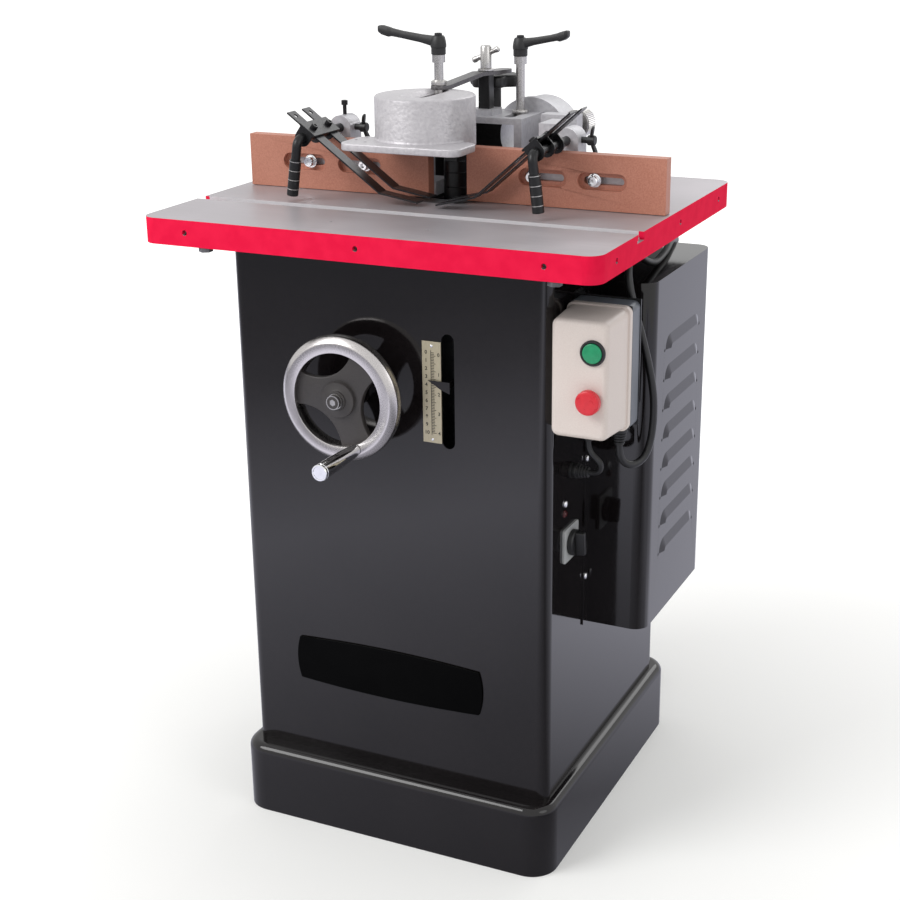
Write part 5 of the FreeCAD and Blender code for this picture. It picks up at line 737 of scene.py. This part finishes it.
# %% Cover screws
COVER_X, COVER_ROWS, COVER_LEVELS = 222, (-91, 165), (374, 539, 704)
PANEL_SCREW, COVER_PAN, RECESS_TURN = (220, -162, 500.6), (5, 3), 0.7
spots = [(COVER_X, y, z) for y in COVER_ROWS for z in COVER_LEVELS] + [PANEL_SCREW]
pans = [moved(pan_screw(*COVER_PAN), spot, RIGHT, index * RECESS_TURN) for index, spot in enumerate(spots)]
piece(join(*pans), "cover_pan_screws", "bright_chrome_plate", "frame",
      stands_for=["side_screws"])

# %% [markdown]
# The switch box has a moulded lid with soft corners and drafted sides. It starts as a cube: the front face
# is drawn in, the long edges are bevelled wide, and the two button holes are cut. A band round its back edge
# stands a little proud. The places of its printed labels stay bare.

# %% Switch lid
LID_LEFT, LID_RIGHT, LID_FRONT, LID_BACK, LID_LOW, LID_HIGH = 222.8, 304, -236, -165, 611, 766
LID_DRAFT, LID_STEP, LID_BAND, LID_CORNER_R, LID_FRONT_R, LID_SEGMENTS = 3.5, 1.8, 9, 9, 7, 6
BAND_EDGE, GASKET_INSET, GASKET_HALF = 1.2, 0.8, 0.4
START, STOP = (280.6, LID_FRONT, 724), (278.7, LID_FRONT, 666)
START_HOLE_R, STOP_HOLE_R, HOLE_DEPTH = 12.3, 9.3, 24


def edges_along(bm, axis):
    return [e for e in bm.edges if abs(getattr(e.verts[0].co - e.verts[1].co, axis)) > 1]


def lid_block(inset, front, back):
    return cuboid(LID_LEFT + inset, LID_RIGHT - inset, front, back, LID_LOW + inset, LID_HIGH - inset)


lid = lid_block(LID_STEP, LID_FRONT, LID_BACK)
for vert in lid.verts:
    if vert.co.y < LID_FRONT + 1:
        vert.co.x -= math.copysign(LID_DRAFT, vert.co.x - (LID_LEFT + LID_RIGHT) / 2)
        vert.co.z -= math.copysign(LID_DRAFT, vert.co.z - (LID_LOW + LID_HIGH) / 2)
bevel(lid, edges_along(lid, "y"), LID_CORNER_R, LID_SEGMENTS)
front = [e for e in lid.edges if all(v.co.y < LID_FRONT + 0.1 for v in e.verts) and len(e.link_faces) == 2
         and e.calc_face_angle(0) > math.radians(40)]
bevel(lid, front, LID_FRONT_R, LID_SEGMENTS)
holes = [moved(prism(SPIN_STEPS, radius, -CUT_PAST, HOLE_DEPTH), place, REAR)
         for place, radius in ((START, START_HOLE_R), (STOP, STOP_HOLE_R))]
band = lid_block(0, LID_BACK - LID_BAND, LID_BACK)
bevel(band, edges_along(band, "y"), LID_CORNER_R, LID_SEGMENTS)
soften(band, BAND_EDGE, segments=3, limit=60)
piece(join(carve(lid, *holes), band), "switch_lid_moulding", "cream_abs", "frame",
      stands_for=["switch_lid"])
seam = lid_block(GASKET_INSET, LID_BACK - GASKET_HALF, LID_BACK + GASKET_HALF)
piece(seam, "switch_lid_gasket", "black_pvc", "frame")

# %% [markdown]
# The start button stands just out of a dark bezel. The stop button is a mushroom, so that a hand finds it.
# Both have a collar inside the lid that keeps them from falling out.

# %% Buttons
BEZEL = [(12.4, -0.5), (15.6, -0.5), (15.6, 1.8), (14.8, 3), (13.2, 3.2), (12.4, 2.6)]
GREEN = [(14, -11), (14, -8.2), (12, -8.2), (12, 3.6), (11.5, 4.2), (10.8, 4.5)]
MUSHROOM = [(11, -11), (11, -8.2), (9, -8.2), (9, 5), (14.2, 5), (15, 5.8),
            (15, 11.6), (14.4, 13), (13, 13.8), (10, 14)]
piece(lathe(BEZEL, ring=True), "start_button_bezel", "glass_filled_nylon", "frame", START, FRONT)
piece(lathe(GREEN), "start_button_cap", "green_button_acrylic", "start", START, FRONT,
      stands_for=["start_button"])
piece(lathe(MUSHROOM), "stop_button_mushroom", "red_button_acrylic", "stop", STOP, FRONT,
      stands_for=["stop_button"])

# %% [markdown]
# Cable glands are moulded nuts with ribs to turn them by, over a tapered sleeve that keeps the lead from
# kinking. The sleeve's ribs are rings in the turned profile.

# %% Glands
GLAND_COLLAR = [(10.5, 0), (10.5, 2.2), (9.8, 2.8)]
RIBS, RIB_LOW, RIB_PITCH, RIB_R, RIB_TAPER, RIB_DEPTH = 4, 10.4, 3.6, 9, 0.7, 0.9
NUT_SIDES, NUT_R, NUT_LOW, NUT_HIGH = 12, 10.4, 2.6, 9.2
BOX_GLANDS, BOX_GLAND_L = ((244, -150, 611), (285, -150, 611)), 26
INLET_GLAND, INLET_GLAND_L = (220, -143, 540), 24.6


def gland(length):
    ribs = []
    for index in range(RIBS):
        low, radius = RIB_LOW + index * RIB_PITCH, RIB_R - index * RIB_TAPER
        groove = radius - RIB_DEPTH
        ribs += [(groove, low), (radius, low + 0.4), (radius, low + 2.2), (groove, low + 2.6)]
    taper = [(8.6, 8)] + ribs + [(6.3, length - 0.6), (5.4, length)]
    nut = prism(NUT_SIDES, NUT_R, NUT_LOW, NUT_HIGH, edge=0.5)
    return join(nut, lathe(GLAND_COLLAR, SMALL_STEPS), lathe(taper, SMALL_STEPS))


glands = [moved(gland(BOX_GLAND_L), place, DOWN) for place in BOX_GLANDS]
glands.append(moved(gland(INLET_GLAND_L), INLET_GLAND, RIGHT))
piece(join(*glands), "ribbed_glands", "glass_filled_nylon", "frame",
      stands_for=["cable_glands"])

# %% [markdown]
# The reversing switch turns with a bar handle: a round base that carries a block, narrower at its top.
# A small dark red lens sits above its plate.

# %% Reversing switch
REVERSING, REVERSING_TURN = (220, -147, 444), math.radians(8)
DISC = [(5, -14), (5, 3.3), (16.4, 3.3), (17, 4), (17, 8.6), (15.8, 10.3)]
BAR_HALF, BAR_LOW, BAR_HIGH, BAR_NARROW, BAR_EDGE = (17, 5.5), 9.3, 22.3, (0.94, 0.72), 2
LAMP_AT = (220, -165, 488)
LAMP = [(5, -1), (5, 0.8), (4.6, 1.2), (3.8, 1.4), (3.6, 2.2), (2.6, 3.2), (0, 3.6)]


def reshaped(bm, above, x_factor, y_factor):
    for vert in bm.verts:
        if vert.co.z > above:
            vert.co.x *= x_factor
            vert.co.y *= y_factor
    return bm


bar = reshaped(block(*BAR_HALF, BAR_LOW, BAR_HIGH), BAR_LOW + 1, *BAR_NARROW)
soften(bar, BAR_EDGE, segments=4)
piece(join(lathe(DISC), bar), "reversing_bar_knob", "glass_filled_nylon", "reversing", REVERSING, RIGHT,
      REVERSING_TURN, stands_for=["reversing_knob"])
piece(lathe(LAMP, TINY_STEPS), "reversing_lamp", "dark_red_lens", "frame", LAMP_AT, RIGHT)

# %% [markdown]
# The guard over the cutter is a sand casting: a drum with a crisp rim and a flange across its front.
# An oblong opening in its roof lets the clamp stud slide, and the casting is dished round it. The drum is
# turned, the flange is a block with round corners, and the opening and the dish are cut from the drum.
# The fillet at the drum's foot stays only where it meets the flange.

# %% Guard casting
HOOD = (-20, -56, 921.2)
DRUM_R, BORE_R, FILLET_R = 65, 59, 66.5
DRUM = [(57.5, 56), (BORE_R, 54.5), (BORE_R, 0.2), (FILLET_R, 0.2), (FILLET_R, 9.7), (65.6, 10.7),
        (DRUM_R, 12.7), (DRUM_R, 60.8), (64.5, 62.6), (63.2, 63.7), (61.4, 64)]
SLOT_X, SLOT_FRONT, SLOT_REAR, SLOT_R, SLOT_LOW, SLOT_HIGH = -4, -22, 56, 7, 50, 70
DISH_FRONT, DISH_REAR, DISH_R, DISH_TOP_R, DISH_LOW, DISH_HIGH = -20, 38, 13, 20, 58.5, 64.6
FLANGE_HALF, FLANGE_FRONT, FLANGE_REAR, FLANGE_T = 84, -84, -18, 9.5
FLANGE_CORNER_R, FLANGE_EDGE, FLANGE_HOLE_R = 16, 1.6, 2.5
FLANGE_HOLES = ((-74, -50), (-55, -62), (-69, -30))


def oblong(low_r, high_r, y0, y1, z0, z1):
    bm = reshaped(prism(SPIN_STEPS, low_r, z0, z1), z0 + 0.01, high_r / low_r, high_r / low_r)
    for vert in bm.verts:
        vert.co.y += y1 if vert.co.y > 0.01 else y0
    return moved(bm, (SLOT_X, 0, 0))


drum = lathe(DRUM, FINE_STEPS)
for vert in drum.verts:
    across = math.hypot(vert.co.x, vert.co.y)
    if across > DRUM_R and vert.co.y > FLANGE_REAR:
        vert.co.x *= DRUM_R / across
        vert.co.y *= DRUM_R / across
drum = carve(drum, oblong(SLOT_R, SLOT_R, SLOT_FRONT, SLOT_REAR, SLOT_LOW, SLOT_HIGH),
             oblong(DISH_R, DISH_TOP_R, DISH_FRONT, DISH_REAR, DISH_LOW, DISH_HIGH))
flange = cuboid(-FLANGE_HALF, FLANGE_HALF, FLANGE_FRONT, FLANGE_REAR, 0, FLANGE_T)
bevel(flange, edges_along(flange, "z"), FLANGE_CORNER_R, segments=8)
soften(flange, FLANGE_EDGE, segments=3, limit=60)
holes = [moved(prism(TINY_STEPS, FLANGE_HOLE_R, -2, 14), (x, y, 0)) for x, y in FLANGE_HOLES]
flange = carve(flange, prism(FINE_STEPS, BORE_R, -1, 13), *holes)
piece(join(drum, flange), "guard_casting", "silver_hammer_enamel", "hood", HOOD,
      stands_for=["guard_hood"])

# %% [markdown]
# Each hold-down has a black bar bent down at its front end, and four bright rings mark the grip on its leg.
# Two cap screws on the bracket pinch the spring fingers, an ear under its middle holds it to the bar, and
# a wing screw locks the bar in its holder.

# %% Hold-downs
ROD_Z, LEG_Y, HOLDER_Y = 930, -128, -1
CLEVIS_TOP, FINGERS_Y = 14.2, (-100, -62)
EAR_R, EAR_T, EAR_Y, EAR_EDGE = 11, 3, -81, 0.3
GRIP_RINGS, RING_IN, RING_OUT, RING_W = (9, 21, 33, 45), 7.2, 7.75, 1.2
GRIP_END = [(7.5, -0.5), (7.1, 0.6), (5.6, 1)]
WING_X, WING_TURN = 24, math.radians(110)
WING_SHANK = [(3.4, -17.5), (4, -16.8), (4, 0.4)]
WING_HUB = [(6, 0), (6.5, 0.6), (6.5, 8.6), (5.6, 9.8), (0, 10)]
WING_HALF_W, WING_HALF_T, WING_L, WING_FLARE, WING_THIN = 3, 2.2, 15.5, 1.5, 0.8
WING_OUT, WING_UP, WING_LEAN = 4.2, 4.6, 0.28
CLEVIS_SCREW, HOLDER_SCREW = (4.6, 4.8, 2.4, 2.2, 2.6), (4.4, 6.2, 2.4, 2.6, 13)
HOLDER_SCREW_AT = (-168, HOLDER_Y, 958.5)
HOLDS = (("left", -168, (-11, -72), 36, 1), ("right", 158, (9, -70), 41, -1))


def wing(direction):
    bm = reshaped(block(WING_HALF_W, WING_HALF_T, 0, WING_L), WING_L / 2, WING_FLARE, WING_THIN)
    bmesh.ops.subdivide_edges(bm, edges=bm.edges[:], cuts=1, use_grid_fill=True)
    return moved(subdivided(bm), (0, direction * WING_OUT, WING_UP), (0, direction, WING_LEAN))


for side, x, foot, angle, sign in HOLDS:
    leg, body = Vector((foot[0], 0, foot[1])), side + "_hold"
    way, bend = leg.normalized(), (x, LEG_Y, ROD_Z)
    rings = []
    for step in GRIP_RINGS:
        low = leg.length - step
        crest = (RING_OUT, low + 0.2), (RING_OUT, low + 1)
        rings.append(lathe([(RING_IN, low), *crest, (RING_IN, low + RING_W)], ring=True))
    piece(join(*rings), side + "_grip_rings", "machined_steel", body, bend, way)
    tip = lathe([(radius, leg.length + height) for radius, height in GRIP_END])
    piece(tip, side + "_grip_end", "black_oxide_steel", body, bend, way)
    lean = math.radians(angle)
    roof = Vector((sign * math.sin(lean), 0, math.cos(lean)))
    ear = join(block(EAR_R, EAR_T / 2, 0, CLEVIS_TOP - 1, EAR_EDGE),
               moved(prism(SMALL_STEPS, EAR_R, -EAR_T / 2, EAR_T / 2, EAR_EDGE), way=REAR))
    piece(moved(ear, (x, EAR_Y, ROD_Z), roof), side + "_bracket_middle_ear", "black_oxide_steel", body)
    screws = [moved(cap_screw(*CLEVIS_SCREW), Vector((x, y, ROD_Z)) + roof * CLEVIS_TOP, roof)
              for y in FINGERS_Y]
    piece(join(*screws), side + "_clevis_screws", "black_oxide_steel", body)
    wing_screw = join(lathe(WING_SHANK, TINY_STEPS), lathe(WING_HUB, SMALL_STEPS), wing(-1), wing(1))
    piece(wing_screw, side + "_wing_moulding", "glass_filled_nylon", side + "_wing",
          (x + WING_X, HOLDER_Y, ROD_Z), RIGHT, WING_TURN,
          stands_for=[side + "_wing_screw"])
piece(cap_screw(*HOLDER_SCREW), "left_holder_screw", "black_oxide_steel", "fence", HOLDER_SCREW_AT, UP)

# %% [markdown]
# The height scale is an anodised strip held by two small screws. Plain numbers run down its left side in
# centimetres and down its right side in inches, with a fine rule between. The marks are thin raised pieces,
# so that they stay sharp from close by.

# %% Height scale
SCALE_FACE, SCALE_SCREW_X, SCALE_SCREWS_Z = -219.5, 64, (583.5, 704.5)
RULE_X, RULE_LOW, RULE_HIGH, RULE_HALF, RULE_PAST = 63, 592, 696, 0.35, 3
MARK_T, BOLD, SCALE_PAN = 0.12, 0.16, (1.9, 1)
TICKS, TICK_PITCH, TICK_HALF, TICK_L, LONG_TICK_L, LONG_EVERY = 53, 2, 0.4, 4.4, 6.4, 5
COLUMNS = ((10, 6.6, 56.4, 10.4), (4, 6.2, 73.4, 25.4))


def marking(x0, x1, z0, z1):
    return cuboid(x0, x1, SCALE_FACE - MARK_T, SCALE_FACE + MARK_T, z0, z1)


def numeral(text, size, x, z):
    words = bpy.data.curves.new("numeral", "FONT")
    words.body = text
    words.size = size
    words.align_x = "CENTER"
    words.align_y = "CENTER"
    words.extrude = MARK_T
    words.offset = BOLD
    bm = baked(stand("numeral", words))
    bm.transform(Matrix.Translation((x, SCALE_FACE, z)) @ Matrix.Rotation(math.pi / 2, 4, "X"))
    return bm


marks = [marking(RULE_X - RULE_HALF, RULE_X + RULE_HALF, RULE_LOW - RULE_PAST, RULE_HIGH + RULE_PAST)]
for tick in range(TICKS):
    reach = TICK_L if tick % LONG_EVERY else LONG_TICK_L
    z = RULE_LOW + TICK_PITCH * tick
    marks.append(marking(RULE_X, RULE_X + reach, z - TICK_HALF, z + TICK_HALF))
for last, size, x, pitch in COLUMNS:
    marks += [numeral(str(last - step), size, x, RULE_LOW + pitch * step) for step in range(last + 1)]
piece(join(*marks), "scale_markings", "engraver_black", "frame")
pins = [moved(pan_screw(*SCALE_PAN), (SCALE_SCREW_X, SCALE_FACE, z), FRONT) for z in SCALE_SCREWS_Z]
piece(join(*pins), "scale_screws", "bright_chrome_plate", "frame")

# %% [markdown]
# Two hexagon heads show under the front of the table, where the casting is levelled.

# %% Levelling bolts
LEVELLING, LEVELLING_HEAD = ((-216, -279.5, 817), (250, -279.5, 817)), (9, -6, 0)
bolts = [moved(prism(HEX, *LEVELLING_HEAD, edge=0.6), place) for place in LEVELLING]
piece(join(*bolts), "table_levelling_heads", "plain_grey_iron", "frame")

# %% [markdown]
# The plug on the end of the cord is a moulded body with a waist to hold it by, a ribbed sleeve at its back
# and two pins.

# %% Plug
PLUG_L, PLUG_HALF_W, PLUG_HALF_T, PLUG_EDGE = 46, 19, 14.5, 4.5
WAIST, WAIST_SPAN, NECK, NECK_SHARE = 0.16, 1.25, 0.22, 0.05
SLEEVE_RIBS, SLEEVE_TOP_R, SLEEVE_TAPER, SLEEVE_PITCH, SLEEVE_RIB = 5, 7.2, 0.4, 3.4, 0.7
PIN = [(2.4, -2), (2.4, 17.6), (1.6, 19)]
PINS_X, PIN_STEPS = (-9.5, 9.5), 20
plug = block(PLUG_HALF_W, PLUG_HALF_T, 0, PLUG_L)
bmesh.ops.subdivide_edges(plug, edges=edges_along(plug, "z"), cuts=3)
for vert in plug.verts:
    share = vert.co.z / PLUG_L
    width = 1 - WAIST * math.sin(math.pi * min(1, share * WAIST_SPAN)) - (NECK if share < NECK_SHARE else 0)
    vert.co.x *= width
    vert.co.y *= width
soften(plug, PLUG_EDGE, segments=4, limit=60)
ribs = [(0, -0.5)]
for index in range(SLEEVE_RIBS):
    radius, low = SLEEVE_TOP_R - index * SLEEVE_TAPER, -3 - index * SLEEVE_PITCH
    crest = radius + SLEEVE_RIB
    ribs += [(crest, low + 2.6), (crest, low + 0.8), (radius, low + 0.6), (radius, low)]
ribs += [(5, -18)]
plug_object = piece(join(plug, lathe(ribs, TINY_STEPS)), "plug_moulding", "glass_filled_nylon", "frame",
                    tail, FRONT, stands_for=["supply_plug"])
pins = [moved(lathe(PIN, PIN_STEPS), (x, 0, PLUG_L)) for x in PINS_X]
pin_object = piece(join(*pins), "plug_pins", "bright_chrome_plate", "frame", tail, FRONT)

# %% [markdown]
# A strap keeps the coil together: a flat band with round corners, open on both sides.

# %% Coil tie
TIE_IN, TIE_OUT, TIE_LOW, TIE_HIGH = 38, 68, 0.02, 21
TIE_W, TIE_T, TIE_R, TIE_ANGLE = 12, 0.9, 6, math.radians(205)
strap = cuboid(TIE_IN, TIE_OUT, -TIE_W / 2, TIE_W / 2, TIE_LOW, TIE_HIGH)
bevel(strap, edges_along(strap, "y"), TIE_R, segments=4)
bmesh.ops.delete(strap, geom=[f for f in strap.faces if abs(f.normal.y) > 0.9], context="FACES")
bmesh.ops.solidify(strap, geom=strap.faces[:], thickness=TIE_T)
tie = piece(outward(strap), "coil_tie", "black_pvc", "frame", COIL_MIDDLE, UP, TIE_ANGLE)

# %% [markdown]

# %% [markdown]
# Every CAD piece that still shows gets its finish here, by name. Those with crisp outer edges also get them
# broken by a narrow bevel.

# %% Finish the CAD pieces
wear = {
    "gloss_black_powder_coat": ["base_plinth", "cabinet_shell", "motor_cover", "height_pointer"],
    "gloss_black_acrylic": ["badge_plate"],
    "satin_label_aluminium": ["reversing_plate"],
    "bare_strap_steel": ["guard_strap"],
    "ground_iron_and_red_enamel": ["machine_table"],
    "grey_enamel_painted_shade_inside": ["fence_body"],
    "grey_hammer_enamel": ["right_fence_bracket"],
    "terracotta_panel": ["left_fence_board", "right_fence_board"],
    "plain_grey_iron": ["insert_ring", "elevation_guide", "quill_housing", "motor_body", "motor_pulley",
                        "spindle_pulley"],
    "machined_steel": ["table_bolts", "spindle_bearings", "motor_shaft", "handwheel_shaft", "lift_screw"],
    "black_oxide_steel": ["spindle_shaft", "spindle_collars", "spindle_nut", "switch_bracket", "guard_post",
                          "left_hold_rod", "right_hold_rod", "left_hold_bracket", "right_hold_bracket"],
    "dark_spring_steel": ["left_fingers", "right_fingers"],
    "grey_abs": ["switch_base"],
    "champagne_anodised_strip": ["height_scale"],
    "drive_rubber": ["drive_belt"],
}
EDGES_MM = {
    "motor_cover": 1.6, "fence_body": 1.4, "right_fence_bracket": 1.4, "machine_table": 0.9,
    "badge_plate": 0.9, "left_fence_board": 0.5, "right_fence_board": 0.5, "guard_strap": 0.6,
    "left_hold_bracket": 0.5, "right_hold_bracket": 0.5, "guard_post": 0.8, "switch_base": 1.0,
    "reversing_plate": 0.6, "height_scale": 0.2,
}
WELD_MM, EDGE_SEGMENTS, EDGE_LIMIT = 0.01, 3, math.radians(35)
for finish_name, names in wear.items():
    for name in names:
        nodes[name].data.materials.clear()
        nodes[name].data.materials.append(materials[finish_name])
for name, width in EDGES_MM.items():
    weld = nodes[name].modifiers.new("weld", "WELD")
    weld.merge_threshold = WELD_MM * MM
    broken = nodes[name].modifiers.new("broken_edges", "BEVEL")
    broken.width = width * MM
    broken.segments = EDGE_SEGMENTS
    broken.limit_method = "ANGLE"
    broken.angle_limit = EDGE_LIMIT
    broken.harden_normals = True
shown = {name for name in nodes if not nodes[name].hide_render}
print("finished", sum(map(len, wear.values())), "left plain", sorted(shown - set(sum(wear.values(), []))))

# %% [markdown]
# The machine stands on a pale floor in soft studio light. A gloss black panel is only as bright as what it
# mirrors, so the room matters: in reflections the floor has bright and dim bands across one diagonal.
# Seen by the camera it is a matt floor that fades into the white background.

# %% Floor
FLOOR_HALF, FLOOR_DROP = 20, 0.0004
MIRRORED = ((-4, 0.50), (-3.2, 0.66), (-1.7, 1.75), (-0.5, 0.72), (0.3, 0.30), (1, 1.05), (2.2, 1.15))
MIRROR_FROM, MIRROR_TO, BRIGHTEST = -4, 3, 1.75
FADE_FROM, FADE_TO, GLOW_NEAR, GLOW_FAR = 0.35, 2.4, 0.16, 0.66
ground_plane = bmesh.new()
bmesh.ops.create_grid(ground_plane, x_segments=1, y_segments=1, size=FLOOR_HALF)
floor = held(ground_plane, "studio_floor")
floor.location.z = -FLOOR_DROP
paint = bpy.data.materials.new("studio_floor_paint")
paint.use_nodes = True
tree = paint.node_tree
tree.nodes.clear()
rays = add(tree, "ShaderNodeLightPath").outputs
place = add(tree, "ShaderNodeTexCoord").outputs["Object"]
apart = add(tree, "ShaderNodeSeparateXYZ", {"Vector": place}).outputs
along = spread(tree, maths(tree, "ADD", apart["Y"], apart["X"]), 0, 1, MIRROR_FROM, MIRROR_TO)
mirror = add(tree, "ShaderNodeValToRGB", {"Fac": along})
stops = mirror.color_ramp.elements
while len(stops) < len(MIRRORED):
    stops.new(0.5)
for stop, (distance, glow) in zip(stops, MIRRORED):
    stop.position = (distance - MIRROR_FROM) / (MIRROR_TO - MIRROR_FROM)
    stop.color = [glow / BRIGHTEST] * 3 + [1]
matt = add(tree, "ShaderNodeBsdfDiffuse", {"Color": linear("#EDEDEB")}).outputs["BSDF"]
far = add(tree, "ShaderNodeVectorMath", {0: place}, operation="LENGTH").outputs["Value"]
fade = spread(tree, far, GLOW_NEAR, GLOW_FAR, FADE_FROM, FADE_TO)
lift = add(tree, "ShaderNodeEmission", {"Color": linear("#FFFFFF"), "Strength": fade}).outputs[0]
lit = add(tree, "ShaderNodeAddShader", {0: matt, 1: lift}).outputs[0]
plain = add(tree, "ShaderNodeMixShader", {0: rays["Is Camera Ray"], 1: matt, 2: lit}).outputs[0]
mirrored = maths(tree, "MULTIPLY", mirror.outputs["Color"], BRIGHTEST)
gleam = add(tree, "ShaderNodeEmission", {"Color": linear("#EAEAF8"), "Strength": mirrored}).outputs[0]
mixed = add(tree, "ShaderNodeMixShader", {0: rays["Is Glossy Ray"], 1: plain, 2: gleam}).outputs[0]
add(tree, "ShaderNodeOutputMaterial", {"Surface": mixed})
floor.data.materials.append(paint)
print("floor nodes", len(tree.nodes))

# %% [markdown]
# A large soft key stands to the front left, with a weak one to the right and one behind to part the black
# cabinet from the white. The background is pure white to the camera and in mirrors, and dimmer as a light.

# %% Light
SKY_LIGHT, SKY_SEEN = 0.62, 1
SOFTBOXES = (
    ("key_softbox", (-1.9, -2.3, 2.9), (0, 0, 0.7), 2.2, 74),
    ("side_softbox", (2.9, -0.9, 2), (0.1, 0, 0.7), 1.8, 11),
    ("back_softbox", (0.6, 2.8, 2.6), (0, 0, 0.8), 2.4, 28),
)
scene.view_settings.view_transform = "Standard"
world = bpy.data.worlds.new("studio")
scene.world = world
world.use_nodes = True
tree = world.node_tree
tree.nodes.clear()
rays = add(tree, "ShaderNodeLightPath").outputs
seen = maths(tree, "MAXIMUM", rays["Is Camera Ray"], rays["Is Transmission Ray"])
seen = maths(tree, "MAXIMUM", seen, rays["Is Glossy Ray"])
strength = spread(tree, seen, SKY_LIGHT, SKY_SEEN)
sky = add(tree, "ShaderNodeBackground", {"Color": linear("#FFFFFF"), "Strength": strength}).outputs[0]
add(tree, "ShaderNodeOutputWorld", {"Surface": sky})
for name, place, aim, size, power in SOFTBOXES:
    lamp = bpy.data.lights.new(name, "AREA")
    lamp.shape = "DISK"
    lamp.size = size
    lamp.energy = power
    holder = stand(name, lamp)
    holder.location = place
    holder.rotation_euler = (Vector(aim) - Vector(place)).to_track_quat("-Z", "Y").to_euler()
print("lights", len(bpy.data.lights))
